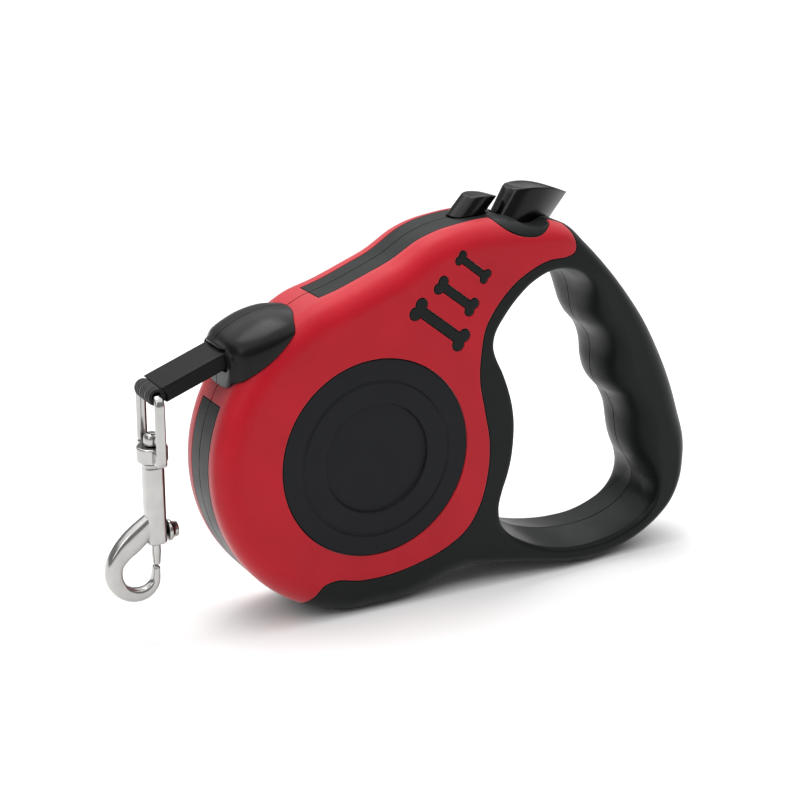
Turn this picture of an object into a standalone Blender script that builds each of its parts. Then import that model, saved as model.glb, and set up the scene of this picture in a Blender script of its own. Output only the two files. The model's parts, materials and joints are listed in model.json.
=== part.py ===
"""Retractable tape leash for dogs: two casing halves with coloured covers and a finger-shaped handle,
a spring reel, a brake and a lock, and a tape that ends in a swivelling bolt snap.

Metres, +Z up. X runs along the leash with the tape leaving towards -X, and Y is its thickness.
The origin lies on the ground under the reel's axis. Lengths below are in millimetres.
"""
import math

import bmesh
import bpy
import numpy as np
from mathutils import Matrix, Vector

MM = 0.001
GAP = 0.3                      # clearance between neighbouring pieces
PARTING_Y = 0.5                # where the two casing halves meet, beside the middle plane

# Casing
REEL_Z = 49.4                  # height of the reel's axis
DRUM_R = 50.0
FOOT_HALF = 7.7                # half length of the flat foot under the drum
HALF_THICK = 15.6              # half thickness of drum and arm
GRIP_HALF_THICK = 13.6         # half thickness of the grip
GRIP_START_X = 64.0
GRIP_FULL_X = 94.0
WALL = 3.0
EDGE_R = 7.5                   # outer edge rounding
HOLE_EDGE_R = 1.8              # edge rounding beside the drum, towards the hand hole
GRIP_EDGE_R = 12.5             # rounding of the grip's finger side
HOLE_CROWN = 1.5               # how far the hand hole's wall bulges at the middle plane
COVER_DEPTH = 1.5
BAND_HALF = 6.3                # half width of the dark middle bands
BADGE_R = 30.6
BADGE_STEPS = 32

# Tape line: a straight line from the mouth of the nose, dipping forwards
MOUTH = (-42.3, 84.1)
TAPE_DIP = math.radians(21.3)
TAPE_WIDTH = 12.0
TAPE_THICK = 0.8
SLEEVE_END = 20.5              # how far in front of the mouth the stiff sleeve ends
LOOP_T = 23.8                  # and how far in front the tape's loop turns

# Reel
HUB_R = 26.0
FLANGE_R = 43.4
RATCHET_R = 43.7
RATCHET_TEETH = 24
WINDING_R = 40.0

# Buttons: the brake is pressed along its front wall, the lock slides forwards
PRESS_AXIS = Vector((-0.23, 0.0, -0.973)).normalized()
BRAKE_STROKE = 3.0
PRESS_TILT = math.atan2(0.23, 0.973)

UNDERSIDE_AND_BACK = [
    (13, 0.7), (18.5, 2.0), (24.5, 4.2), (31, 6.2), (38, 6.1), (47, 5.1), (57, 3.4), (68, 1.2), (80, 0.0),
    (90, 1.3), (97.6, 3.9), (104.8, 8.1), (110.9, 13.8), (114.6, 21), (116, 29), (115.9, 36.5),
    (113.4, 45.4), (109.6, 56.5), (104.2, 68.2), (98.2, 78.6), (90.6, 88.8), (82.4, 98.1), (74.2, 106.2),
    (67.9, 111.8), (61, 114.2), (54, 114.9), (46, 115.8), (38.5, 116.2), (31, 115.5), (24, 114.2),
    (17.7, 111.9),
    (9.2, 106.9), (0.8, 103.4), (-8.3, 99.9), (-17.8, 96.9),
]
HAND_HOLE = [
    (49.4, 48), (48.7, 41), (47.4, 35.6), (45.6, 30.4), (44.5, 25.6), (45.2, 21), (48.1, 17.2),
    (52.2, 14.4), (58.6, 11.3), (66.2, 9.2), (73.9, 8.2), (80.1, 8.2), (86.5, 8.9), (93, 10.9),
    (98.2, 13.7), (101.7, 17.6), (102.9, 22.2), (101.2, 26.4), (98.4, 30.6), (96.2, 35.6), (95.3, 40.4),
    (94.7, 44.7), (93.3, 48.3), (91.3, 51.7), (88.9, 54.1), (86.3, 57.4), (84.9, 62.4), (84.9, 67.8),
    (83.8, 71.9), (82, 74.8), (78.8, 78.2), (77.1, 81.4), (76.3, 85.4), (75.4, 89.8), (73.4, 93.6),
    (70, 96.1), (65.4, 97.6), (60.4, 97.5), (54.5, 95.1), (49.4, 91), (45, 85.9), (42.3, 81.6),
    (41.7, 78), (42.6, 74.8), (45, 69.8), (47.2, 64), (48.7, 58.4), (49.4, 53),
]
GRIP_HOLE_POINTS = range(17, 35)      # the stretch of HAND_HOLE that the fingers hold
COVER_EDGE = [
    (40.5, 119.2), (42.1, 115.6), (45.4, 112.8), (50.7, 110.8), (55.6, 110.7), (59.7, 112.8),
    (62.9, 115.2), (65.5, 112.9), (67.9, 108.9), (68, 104.5), (65.2, 103.1), (58.6, 102.7), (52.7, 100.6),
    (46.5, 96.8), (40.7, 90.8), (37, 84.8), (35.6, 78.3), (35.1, 68.5), (36.9, 58.6), (38.7, 48.7),
    (38.4, 38.8), (35.6, 28.1), (30.8, 20.8), (23.4, 16.1), (14.4, 13.1), (4.9, 11.3), (-5.5, 11.2),
    (-13.6, 12.7), (-18, 11.7), (-20.5, 9), (-23.6, 5.4), (-26.7, -3.9),
]
BONES = [
    # end A, end B, shaft half width, lobe radius, lobe offset
    ((27.6, 107.5), (36.9, 100.2), 1.05, 1.3, 1.1),
    ((20.8, 100.2), (32.4, 91.3), 1.3, 1.68, 1.45),
    ((13.1, 94.0), (29.1, 81.4), 1.6, 2.1, 1.85),
]


def smooth_loop(points, count, closed=True):
    """Points evenly spread along a centripetal Catmull-Rom curve through the given points."""
    pts = [np.array(p, float) for p in points]
    ring = [pts[-1]] + pts + pts[:2] if closed else [2 * pts[0] - pts[1]] + pts + [2 * pts[-1] - pts[-2]]
    dense = []
    for p0, p1, p2, p3 in zip(ring, ring[1:], ring[2:], ring[3:]):
        t1 = np.linalg.norm(p1 - p0) ** 0.5
        t2 = t1 + np.linalg.norm(p2 - p1) ** 0.5
        t3 = t2 + np.linalg.norm(p3 - p2) ** 0.5
        for t in np.linspace(t1, t2, 12, endpoint=False):
            a1 = (t1 - t) / t1 * p0 + t / t1 * p1
            a2 = (t2 - t) / (t2 - t1) * p1 + (t - t1) / (t2 - t1) * p2
            a3 = (t3 - t) / (t3 - t2) * p2 + (t - t2) / (t3 - t2) * p3
            b1 = (t2 - t) / t2 * a1 + t / t2 * a2
            b2 = (t3 - t) / (t3 - t1) * a2 + (t - t1) / (t3 - t1) * a3
            dense.append((t2 - t) / (t2 - t1) * b1 + (t - t1) / (t2 - t1) * b2)
    dense.append(pts[0] if closed else pts[-1])
    return spread(np.array(dense), count, closed)


def spread(line, count, closed=False):
    """Evenly spaced points along a polyline; a closed line repeats its first point at its end."""
    steps = np.r_[0, np.cumsum(np.linalg.norm(np.diff(line, axis=0), axis=1))]
    wanted = np.linspace(0, steps[-1], count, endpoint=not closed)
    return np.column_stack([np.interp(wanted, steps, column) for column in line.T])


def arc(centre, radius, start, end, count):
    """Points on a circle from one angle to another, in degrees."""
    turn = np.radians(np.linspace(start, end, count))
    return np.column_stack([centre[0] + radius * np.cos(turn), centre[1] + radius * np.sin(turn)])


def body_outline(count):
    """Side view of the casing: the drum's circle, cut flat at the foot, then underside, grip and arm."""
    foot_angle = math.degrees(math.asin(FOOT_HALF / DRUM_R))
    drum = arc((0, REEL_Z), DRUM_R, 122, 270 - foot_angle, 60)
    drum[-1, 1] = 0.0
    rest = smooth_loop([(FOOT_HALF, 0)] + UNDERSIDE_AND_BACK + [tuple(drum[0])], 400, closed=False)
    return spread(np.vstack([drum, rest]), count, closed=True)


def inward_normals(loop, solid_inside):
    """Unit normals that point from an edge into the material."""
    along = np.roll(loop, -1, axis=0) - np.roll(loop, 1, axis=0)
    normal = np.column_stack([-along[:, 1], along[:, 0]])
    normal /= np.linalg.norm(normal, axis=1)[:, None]
    area = np.sum(loop[:, 0] * np.roll(loop[:, 1], -1) - np.roll(loop[:, 0], -1) * loop[:, 1])
    return normal * (1 if (area > 0) == solid_inside else -1)


def reach(points, normals, others):
    """How far each edge point can move inwards before it meets the middle of the material."""
    gap = others[None, :, :] - points[:, None, :]
    ahead = np.einsum("ijk,ik->ij", gap, normals)
    radius = np.full(ahead.shape, np.inf)
    near = ahead > 1e-6
    radius[near] = (gap ** 2).sum(axis=2)[near] / (2 * ahead[near])
    return radius.min(axis=1)


def smooth_widths(widths, rounds=6):
    """Even out widths along a loop without making any point wider."""
    lowest = np.minimum.reduce([np.roll(widths, k) for k in range(-2, 3)])
    for _ in range(rounds):
        lowest = (np.roll(lowest, 1) + lowest + np.roll(lowest, -1)) / 3
    return np.minimum(lowest, widths)


def half_thickness(x):
    """Half thickness of the casing, which slims down from the arm to the grip."""
    t = np.clip((x - GRIP_START_X) / (GRIP_FULL_X - GRIP_START_X), 0, 1)
    return HALF_THICK + (GRIP_HALF_THICK - HALF_THICK) * t * t * (3 - 2 * t)


def edge_loops(outer_count, hole_count):
    """The casing's two edges: points, normals, rounding width, rounding radius and crown at each point."""
    outer = body_outline(outer_count)
    hole = smooth_loop(HAND_HOLE, hole_count)
    both = np.vstack([outer, hole])
    grip = [HAND_HOLE[k] for k in GRIP_HOLE_POINTS]
    away = np.min(np.linalg.norm(hole[:, None, :] - np.array(grip)[None, :, :], axis=2), axis=1)
    hole_r = GRIP_EDGE_R + (HOLE_EDGE_R - GRIP_EDGE_R) * np.clip((away - 3) / 12, 0, 1)
    loops = []
    for points, radius, inside in ((outer, np.full(len(outer), EDGE_R), True), (hole, hole_r, False)):
        normals = inward_normals(points, inside)
        room = 0.92 * reach(points, normals, both)
        crown = HOLE_CROWN * (0 if inside else 1) * (GRIP_EDGE_R - radius) / (GRIP_EDGE_R - HOLE_EDGE_R)
        loops.append((points, normals, smooth_widths(np.minimum(radius, room)), radius, crown))
    return loops


def add_ring(bm, points, heights):
    return [bm.verts.new((x, y, z)) for (x, z), y in zip(points, heights)]


def bridge(bm, low, high):
    for k in range(len(low)):
        n = (k + 1) % len(low)
        bm.faces.new((low[k], low[n], high[n], high[k]))


def fill_between(bm, rings):
    edges = []
    for ring in rings:
        for k in range(len(ring)):
            a, b = ring[k - 1], ring[k]
            edges.append(bm.edges.get((a, b)) or bm.edges.new((a, b)))
    bmesh.ops.triangle_fill(bm, use_beauty=True, use_dissolve=False, edges=edges)


def rounded_skin(bm, loops, inset, base, steps):
    """One side of the casing: a wall up from the base, a rounded edge and a flat face."""
    lowest, innermost = [], []
    for points, normals, width, radius, crown in loops:
        start = points + normals * inset
        round_width = np.maximum(width - inset, 0.4)
        top = half_thickness(points[:, 0]) - inset
        round_height = np.maximum(np.minimum(radius, top - 1.0) - max(inset, 0) * 0.5, 0.8)
        ring = add_ring(bm, start, np.full(len(start), base))
        lowest.append(ring)
        start = start + normals * crown[:, None]
        for step in range(steps + 1):
            turn = 0.5 * math.pi * step / steps
            place = start + normals * (round_width * (1 - math.cos(turn)))[:, None]
            height = top - round_height * (1 - math.sin(turn))
            upper = add_ring(bm, place, height)
            bridge(bm, ring, upper)
            ring = upper
        innermost.append(ring)
    fill_between(bm, innermost)
    return lowest


def body_mesh(name, side, inset=0.0, base=0.0, hollow=False, steps=3, counts=(66, 38)):
    """Half of the casing's shape, solid or as a shell, on the side of Y given by the sign."""
    bm = bmesh.new()
    loops = edge_loops(*counts)
    outer = rounded_skin(bm, loops, inset, base, steps)
    if hollow:
        inner = rounded_skin(bm, loops, WALL, base, 1)
        for low, high in zip(outer, inner):
            bridge(bm, low, high)
    else:
        fill_between(bm, outer)
    for vert in bm.verts:
        vert.co = Vector((vert.co.x, vert.co.y * side, vert.co.z)) * MM
    return mesh_from(bm, name)


def mesh_from(bm, name):
    """The finished mesh, with its faces pointing out."""
    bmesh.ops.recalc_face_normals(bm, faces=bm.faces)
    if bm.calc_volume(signed=True) < 0:
        bmesh.ops.reverse_faces(bm, faces=bm.faces)
    mesh = bpy.data.meshes.new(name)
    bm.to_mesh(mesh)
    bm.free()
    return mesh


def seam(side):
    """Distance from the middle plane at which the half on this side of Y stops."""
    return GAP / 2 + side * PARTING_Y


# ---------------------------------------------------------------- objects and simple shapes

COLOURS = {
    "case": ((0.030, 0.033, 0.034), 0.45, 0.0),
    "cover": ((0.42, 0.022, 0.040), 0.40, 0.0),
    "badge": ((0.034, 0.035, 0.040), 0.35, 0.0),
    "gloss": ((0.012, 0.012, 0.013), 0.15, 0.0),
    "white": ((0.70, 0.69, 0.65), 0.50, 0.0),
    "steel": ((0.55, 0.55, 0.56), 0.30, 1.0),
    "chrome": ((0.75, 0.75, 0.76), 0.12, 1.0),
    "webbing": ((0.015, 0.015, 0.016), 0.85, 0.0),
}


def material(name):
    """The Principled material of one finish, made when it is first asked for."""
    if name in bpy.data.materials:
        return bpy.data.materials[name]
    colour, roughness, metallic = COLOURS[name]
    made = bpy.data.materials.new(name)
    made.use_nodes = True
    shader = made.node_tree.nodes["Principled BSDF"]
    shader.inputs["Base Color"].default_value = (*colour, 1.0)
    shader.inputs["Roughness"].default_value = roughness
    shader.inputs["Metallic"].default_value = metallic
    return made


def part(mesh, finish, parent=None):
    """A named sub-part with its own copy of a finish."""
    made = bpy.data.objects.new(mesh.name, mesh)
    bpy.data.collections["retractable_leash"].objects.link(made)
    own = material(finish).copy()
    own.name = mesh.name + "_" + finish
    mesh.materials.append(own)
    mesh.shade_smooth()
    mesh.set_sharp_from_angle(angle=math.radians(35))
    if parent:
        made.parent = parent
        made.matrix_parent_inverse = parent.matrix_world.inverted()
    return made


def cutter(mesh):
    """A hidden helper shape for Boolean modifiers."""
    made = bpy.data.objects.new(mesh.name, mesh)
    bpy.data.collections["cutters"].objects.link(made)
    made.hide_render = True
    made.display_type = "WIRE"
    return made


def combine(piece, tool, operation):
    change = piece.modifiers.new(operation.lower() + "_" + tool.name, "BOOLEAN")
    change.operation = operation
    change.object = tool
    change.solver = "MANIFOLD"
    return piece


def pivot(name, place):
    """An empty on a joint's axis; the moving pieces are its children."""
    made = bpy.data.objects.new(name, None)
    made.location = Vector(place) * MM
    bpy.data.collections["retractable_leash"].objects.link(made)
    bpy.context.view_layer.update()
    return made


def prism(name, loops, low, high, axis="Y"):
    """Flat outlines, the first one outside and the others holes, extruded along Y or Z."""
    bm = bmesh.new()
    levels = []
    for level in (low, high):
        rings = []
        for loop in loops:
            places = [(a, level, b) if axis == "Y" else (a, b, level) for a, b in loop]
            rings.append([bm.verts.new(Vector(place) * MM) for place in places])
        levels.append(rings)
    for below, above in zip(*levels):
        bridge(bm, below, above)
    for rings in levels:
        fill_between(bm, rings)
    return mesh_from(bm, name)


def loft(name, rings):
    """A closed skin over rings of points that all have the same count."""
    bm = bmesh.new()
    rows = [[bm.verts.new(Vector(place) * MM) for place in ring] for ring in rings]
    for low, high in zip(rows, rows[1:]):
        bridge(bm, low, high)
    bm.faces.new(rows[0])
    bm.faces.new(rows[-1])
    return mesh_from(bm, name)


def moved(ring, travel):
    return [Vector(place) + Vector(travel) for place in ring]


def turned(name, profile, steps, centre=(0, 0, REEL_Z), closed=True, axis="Y"):
    """A profile of (radius, height) turned about an axis through the centre."""
    bm = bmesh.new()
    verts = [bm.verts.new((radius * MM, 0, height * MM)) for radius, height in profile]
    pairs = list(zip(verts, verts[1:])) + ([(verts[-1], verts[0])] if closed else [])
    edges = [bm.edges.new(pair) for pair in pairs]
    bmesh.ops.spin(bm, geom=verts + edges, cent=(0, 0, 0), axis=(0, 0, 1), angle=2 * math.pi,
                   steps=steps, use_merge=True)
    bmesh.ops.remove_doubles(bm, verts=bm.verts, dist=0.001 * MM)
    if axis == "Y":
        bm.transform(Matrix.Rotation(math.radians(-90), 4, "X"))
    bm.transform(Matrix.Translation(Vector(centre) * MM))
    return mesh_from(bm, name)


def rod(name, start, end, radius, sides=20):
    """A straight round bar between two points."""
    start, end = Vector(start) * MM, Vector(end) * MM
    bm = bmesh.new()
    bmesh.ops.create_cone(bm, cap_ends=True, segments=sides, radius1=radius * MM, radius2=radius * MM,
                          depth=(end - start).length)
    turn = (end - start).to_track_quat("Z", "Y").to_matrix().to_4x4()
    bm.transform(Matrix.Translation((start + end) / 2) @ turn)
    return mesh_from(bm, name)


def block(name, centre, size, tilt=0.0, edge=0.0):
    """A box tilted about Y, with its edges rounded if an edge size is given."""
    bm = bmesh.new()
    bmesh.ops.create_cube(bm, size=1.0, matrix=Matrix.Diagonal((*(Vector(size) * MM), 1.0)))
    if edge:
        bmesh.ops.bevel(bm, geom=bm.edges[:], offset=edge * MM, segments=2, profile=0.5,
                        affect="EDGES")
    bm.transform(Matrix.Translation(Vector(centre) * MM) @ Matrix.Rotation(tilt, 4, "Y"))
    return mesh_from(bm, name)


def wire(name, points, radius, resolution=2):
    """A round wire along points, as a closed mesh."""
    curve = bpy.data.curves.new(name, "CURVE")
    curve.dimensions = "3D"
    curve.bevel_depth = radius * MM
    curve.bevel_resolution = resolution
    curve.use_fill_caps = True
    spline = curve.splines.new("POLY")
    spline.points.add(len(points) - 1)
    for knot, place in zip(spline.points, points):
        knot.co = (*(Vector(place[:3]) * MM), 1.0)
        knot.radius = place[3] if len(place) > 3 else 1.0
    return curve_to_mesh(curve)


def curve_to_mesh(curve):
    holder = bpy.data.objects.new(curve.name + "_curve", curve)
    bpy.context.scene.collection.objects.link(holder)
    graph = bpy.context.evaluated_depsgraph_get()
    mesh = bpy.data.meshes.new_from_object(holder.evaluated_get(graph))
    bpy.data.objects.remove(holder)
    bm = bmesh.new()
    bm.from_mesh(mesh)
    bmesh.ops.remove_doubles(bm, verts=bm.verts, dist=0.001 * MM)
    bpy.data.meshes.remove(mesh)
    return mesh_from(bm, curve.name)


def coil(name, start, end, radius, wire_radius, turns, per_turn=8):
    """A compression spring between two points."""
    start, end = Vector(start), Vector(end)
    side = (end - start).orthogonal().normalized()
    other = (end - start).normalized().cross(side)
    points = []
    for k in range(turns * per_turn + 1):
        angle = 2 * math.pi * k / per_turn
        along = start.lerp(end, k / (turns * per_turn))
        points.append(along + radius * (math.cos(angle) * side + math.sin(angle) * other))
    return wire(name, points, wire_radius, 1)


def grow(loop, distance):
    """An outline moved outwards by a distance."""
    loop = np.array(loop, float)
    return loop - inward_normals(loop, True) * distance


def on_tape(t, up=0.0):
    """The point t in front of the mouth on the tape line, raised at right angles to it."""
    x = MOUTH[0] - t * math.cos(TAPE_DIP) - up * math.sin(TAPE_DIP)
    z = MOUTH[1] - t * math.sin(TAPE_DIP) + up * math.cos(TAPE_DIP)
    return x, z


def tape_block(name, start, end, width, thick, edge=0.0):
    """A flat bar along the tape line."""
    x, z = on_tape((start + end) / 2)
    return block(name, (x, 0, z), (end - start, width, thick), -TAPE_DIP, edge)


# ---------------------------------------------------------------- casing

def bone_loop(end_a, end_b, shaft, lobe, offset, extra=0.0, count=6):
    """A bone shape: a bar with two round lobes at each end."""
    a, b = np.array(end_a), np.array(end_b)
    along = (b - a) / np.linalg.norm(b - a)
    across = np.array([-along[1], along[0]])
    half, radius, half_shaft = np.linalg.norm(b - a) / 2, lobe + extra, shaft + extra
    neck = math.sqrt(radius ** 2 - (offset - half_shaft) ** 2)
    notch = math.sqrt(radius ** 2 - offset ** 2)
    first = math.atan2(half_shaft - offset, -neck) % (2 * math.pi)
    last = math.atan2(-offset, notch)
    lobe_arc = [(half + radius * math.cos(t), offset + radius * math.sin(t))
                for t in np.linspace(first, last, count)]
    end = lobe_arc + [(u, -v) for u, v in lobe_arc[::-1][1:]]
    whole = end + [(-u, -v) for u, v in end]
    return [(a + b) / 2 + u * along + v * across for u, v in whole]


def cover_loop(shift):
    """The cover's edge in side view, closed by an arc well outside the drum."""
    edge = smooth_loop(COVER_EDGE, 64, closed=False)
    outside = arc((0, REEL_Z), 90, 242, 60, 14)
    return grow(np.vstack([edge, outside]), -shift)


def band_loop(extra):
    """Plan view of the dark middle band on top, which widens to a collar round the buttons."""
    edge = [(-14, BAND_HALF), (12, 6.8), (24, 7.6), (40, 7.4), (46, 5.5), (52, 8.0), (80, 12)]
    upper = [(x - (extra if k == 0 else 0), y + extra) for k, (x, y) in enumerate(edge)]
    return upper + [(x, -y) for x, y in upper[::-1]]


def cover_zone(name, side, gap):
    """The space that a cover may fill, shrunk by a gap."""
    ends = sorted((side * (seam(side) + gap / 2), side * 25))
    zone = cutter(prism(name, [cover_loop(gap)], *ends))
    top = cutter(prism(name + "_top_band", [band_loop(gap)], 88, 130, "Z"))
    front = cutter(block(name + "_front_band", (-45, 0, 35), (40, 2 * (BAND_HALF + gap), 69.4 + 2 * gap)))
    combine(zone, top, "DIFFERENCE")
    return combine(zone, front, "DIFFERENCE")


BUTTON_BLUNT = 0.42            # where along its length a button is widest


def leaf(front, rear, width, extra=0.0, count=9):
    """Outline of a button between two points of the middle plane: round front, pointed rear."""
    front, rear = Vector(front), Vector(rear)
    along = (rear - front).normalized()
    length = (rear - front).length + 2 * extra
    start = front - along * extra
    half = []
    for k in range(count + 1):
        u = 0.5 * (1 - math.cos(math.pi * k / count))
        if u < BUTTON_BLUNT:
            y = math.sqrt(max(0.0, 1 - ((BUTTON_BLUNT - u) / BUTTON_BLUNT) ** 2))
        else:
            y = 1 - ((u - BUTTON_BLUNT) / (1 - BUTTON_BLUNT)) ** 1.7
        half.append((start + along * (u * length), y * (width / 2 + extra)))
    upper = [Vector((p.x, y, p.z)) for p, y in half]
    return upper + [Vector((p.x, -p.y, p.z)) for p in upper[-2:0:-1]]


# Buttons: front and rear end in the middle plane, and width
BRAKE_TOP = ((52.5, 0, 124.2), (74.3, 0, 119.5), 12.0)
BRAKE_BASE = ((48.0, 0, 115.0), (67.9, 0, 111.6), 11.0)
BRAKE_HOLE = ((48.0, 0, 115.0), (70.6, 0, 111.2), 11.0)
BRAKE_DEPTH = 5.0
LOCK_TOP = ((38.6, 0, 122.9), (49.2, 0, 120.8), 9.6)
LOCK_BASE = ((32.5, 0, 116.2), (45.4, 0, 115.4), 9.6)
LOCK_HOLE = ((29.2, 0, 116.3), (45.9, 0, 115.3), 9.8)
LOCK_LEAN = Vector((-0.66, 0.0, -0.75)).normalized()
LOCK_DEPTH = 4.5

SCREWS = [(72.6, 100.5), (92.4, 73.0), (106.8, 35.0), (36.8, 15.6)]
BOSS_R = 3.1
AXLE_R = 5.0
AXLE_END = 12.4                # half length of the reel's axle
SPRING_SEAT = Vector((54.0, 4.0, 101.2))


def slot(side):
    """Cutter for the tape's way through a casing half and its cover."""
    return cutter(tape_block("tape_slot_%d" % side, -35, 22, TAPE_WIDTH + 2.0, 3.0))


def along_y(name, place, low, high, radius, side, sides=16):
    """A round bar parallel to Y, between two distances from the middle plane."""
    x, z = place
    return rod(name, (x, side * low, z), (x, side * high, z), radius, sides)


def build_case(name, side):
    """One casing half: a shell with a pocket for its cover, bosses, screw holes and openings."""
    shell = part(body_mesh(name, side, base=seam(side), hollow=True), "case")
    pocket = cover_zone(name + "_pocket", side, -GAP / 2)
    combine(pocket, cutter(body_mesh(name + "_core", side, COVER_DEPTH + GAP, -1.0)), "DIFFERENCE")
    for number, bone in enumerate(BONES):
        shape = prism(name + "_bone_%d" % number, [bone_loop(*bone)], *sorted((side * 5, side * 20)))
        combine(pocket, cutter(shape), "DIFFERENCE")
    combine(shell, pocket, "DIFFERENCE")
    for number, place in enumerate(SCREWS):
        deep = half_thickness(place[0]) - WALL + 0.5
        boss = along_y(name + "_boss_%d" % number, place, seam(side), deep, BOSS_R, side)
        combine(shell, cutter(boss), "UNION")
    hub = along_y(name + "_hub", (0, REEL_Z), AXLE_END - 1.0, AXLE_END + 1.2, AXLE_R + 1.8, side, 24)
    combine(shell, cutter(hub), "UNION")
    if side > 0:
        middle = SPRING_SEAT + PRESS_AXIS * 1.7 + Vector((0, 3, 0))
        rib = block(name + "_spring_rib", middle, (7.0, 13.0, 2.0), PRESS_TILT)
        combine(shell, cutter(rib), "UNION")
    for number, place in enumerate(SCREWS):
        if side > 0:
            head = along_y(name + "_head_hole_%d" % number, place, half_thickness(place[0]) - 3.4, 20, 2.7, side)
            combine(shell, cutter(head), "DIFFERENCE")
        deep = 20 if side > 0 else half_thickness(place[0]) - 3.0
        hole = along_y(name + "_screw_hole_%d" % number, place, -1, deep, 1.35 if side > 0 else 1.3, side, 12)
        combine(shell, cutter(hole), "DIFFERENCE")
    axle = along_y(name + "_axle_hole", (0, REEL_Z), -1, AXLE_END + GAP, AXLE_R + GAP, side, 28)
    combine(shell, cutter(axle), "DIFFERENCE")
    combine(shell, slot(side), "DIFFERENCE")
    up, down = -PRESS_AXIS * 6.0, PRESS_AXIS * (BRAKE_DEPTH + BRAKE_STROKE)
    outline = leaf(*BRAKE_HOLE, extra=0.45)
    brake_way = loft(name + "_brake_way", [moved(outline, up), moved(outline, down)])
    combine(shell, cutter(brake_way), "DIFFERENCE")
    outline = leaf(*LOCK_HOLE, extra=0.45)
    lock_way = loft(name + "_lock_way", [moved(outline, -LOCK_LEAN * 4.0), moved(outline, LOCK_LEAN * 6.0)])
    combine(shell, cutter(lock_way), "DIFFERENCE")
    return shell


def build_cover(name, side):
    """The coloured skin over drum and arm, with a round opening for the badge and three bones."""
    skin = part(body_mesh(name, side, base=-1.0), "cover")
    combine(skin, cover_zone(name + "_zone", side, GAP / 2), "INTERSECT")
    combine(skin, cutter(body_mesh(name + "_inside", side, COVER_DEPTH, -2.0)), "DIFFERENCE")
    edge = BADGE_R + GAP / 2
    badge = turned(name + "_badge_hole", [(0, side * 8), (edge, side * 8), (edge, side * 20), (0, side * 20)],
                   BADGE_STEPS, closed=False)
    combine(skin, cutter(badge), "DIFFERENCE")
    for number, bone in enumerate(BONES):
        shape = prism(name + "_window_%d" % number, [bone_loop(*bone, extra=GAP)],
                      *sorted((side * 5, side * 20)))
        combine(skin, cutter(shape), "DIFFERENCE")
    combine(skin, slot(side), "DIFFERENCE")
    return skin


def build_badge(name, side):
    """The round black badge: a flange, a raised ring and a sunken middle."""
    back = HALF_THICK - COVER_DEPTH
    rim = BADGE_R - GAP / 2
    ring = HALF_THICK - 0.05
    sunk = HALF_THICK - 0.7
    profile = [(0, back), (rim, back), (rim, ring - 0.5), (rim - 0.5, ring - 0.1), (0.79 * BADGE_R, ring - 0.1),
               (0.77 * BADGE_R, ring), (0.56 * BADGE_R, ring), (0.54 * BADGE_R, sunk), (0, sunk)]
    profile = [(radius, height * side) for radius, height in profile]
    return part(turned(name, profile, BADGE_STEPS, closed=False), "badge")


def superellipse(half_y, top, bottom, power, count=24):
    """Section of the nose: (y, up) points of a squared oval, narrower above the tape line."""
    points = []
    for k in range(count):
        turn = 2 * math.pi * k / count
        y, up = [math.copysign(abs(v) ** (2 / power), v) for v in (math.cos(turn), math.sin(turn))]
        points.append((half_y * y * (1 - 0.16 * max(up, 0)), (top if up > 0 else bottom) * up))
    return points


NOSE_SECTIONS = [
    # t along the tape line, half width, height above and depth below the line, squareness
    (-28, 6.5, 0.6, 9, 2.2), (-23.5, 10, 3.0, 12, 2.2), (-18, 13.6, 5.4, 14, 2.3),
    (-12, 14.6, 6.4, 14.5, 2.4), (-6.5, 14.0, 6.3, 14, 2.5), (-2.2, 12.4, 5.6, 12, 2.7),
    (0, 10.3, 4.4, 9.5, 3.2),
]
CHIN = 0.4                     # how far the nose's underside leans forwards


def build_nose(name, side):
    """Half of the nose that guides the tape, seated on the covers."""
    rings = []
    for t, half_y, top, bottom, power in NOSE_SECTIONS:
        section = superellipse(half_y, top, bottom, power)
        places = [(y, on_tape(t + CHIN * max(-up, 0), up)) for y, up in section]
        rings.append([(x, y, z) for y, (x, z) in places])
    nose = part(loft(name, rings), "gloss")
    keep = block(name + "_half", (-40, side * (10 + seam(side)), 80), (80, 20, 80))
    combine(nose, cutter(keep), "INTERSECT")
    seat = body_mesh(name + "_seat", side, -GAP, -1.0)
    combine(nose, cutter(seat), "DIFFERENCE")
    combine(nose, cutter(tape_block(name + "_slot", -30, 5, TAPE_WIDTH + 2.0, 3.0)), "DIFFERENCE")
    mouth = tape_block(name + "_mouth", -4, 4, TAPE_WIDTH + 3.6, 6.6)
    combine(nose, cutter(mouth), "DIFFERENCE")
    return nose


def build_casing():
    for label, side in (("left", -1), ("right", 1)):
        build_case(label + "_case", side)
        build_cover(label + "_cover", side)
        build_badge(label + "_badge", side)
        build_nose(label + "_nose", side)
    part(rod("reel_axle", (0, -AXLE_END, REEL_Z), (0, AXLE_END, REEL_Z), AXLE_R, 28), "steel")
    for number, place in enumerate(SCREWS, 1):
        top = half_thickness(place[0]) - 1.4
        screw = [(0, top), (2.4, top), (2.4, top - 1.7), (1.0, top - 1.7), (1.0, -top + 2.4), (0, -top + 1.6)]
        centre = (place[0], 0, place[1])
        part(turned("case_screw_%d" % number, screw, 14, centre, closed=False), "steel")
    guide = part(tape_block("tape_guide", -15.5, -4.5, TAPE_WIDTH + 1.4, 2.4), "white")
    combine(guide, cutter(tape_block("tape_guide_way", -18, -2, TAPE_WIDTH + 0.6, 1.4)), "DIFFERENCE")


# ---------------------------------------------------------------- reel

def ratchet_outline():
    """Ratchet teeth: steep on one side and sloping on the other."""
    pitch = 360 / RATCHET_TEETH
    points = []
    for tooth in range(RATCHET_TEETH):
        for turn, radius in ((0, RATCHET_R), (3.2, RATCHET_R), (6.0, 40.8), (14.6, 40.8)):
            angle = math.radians(2.0 + tooth * pitch + turn)
            points.append((radius * math.cos(angle), REEL_Z + radius * math.sin(angle)))
    return points


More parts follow.
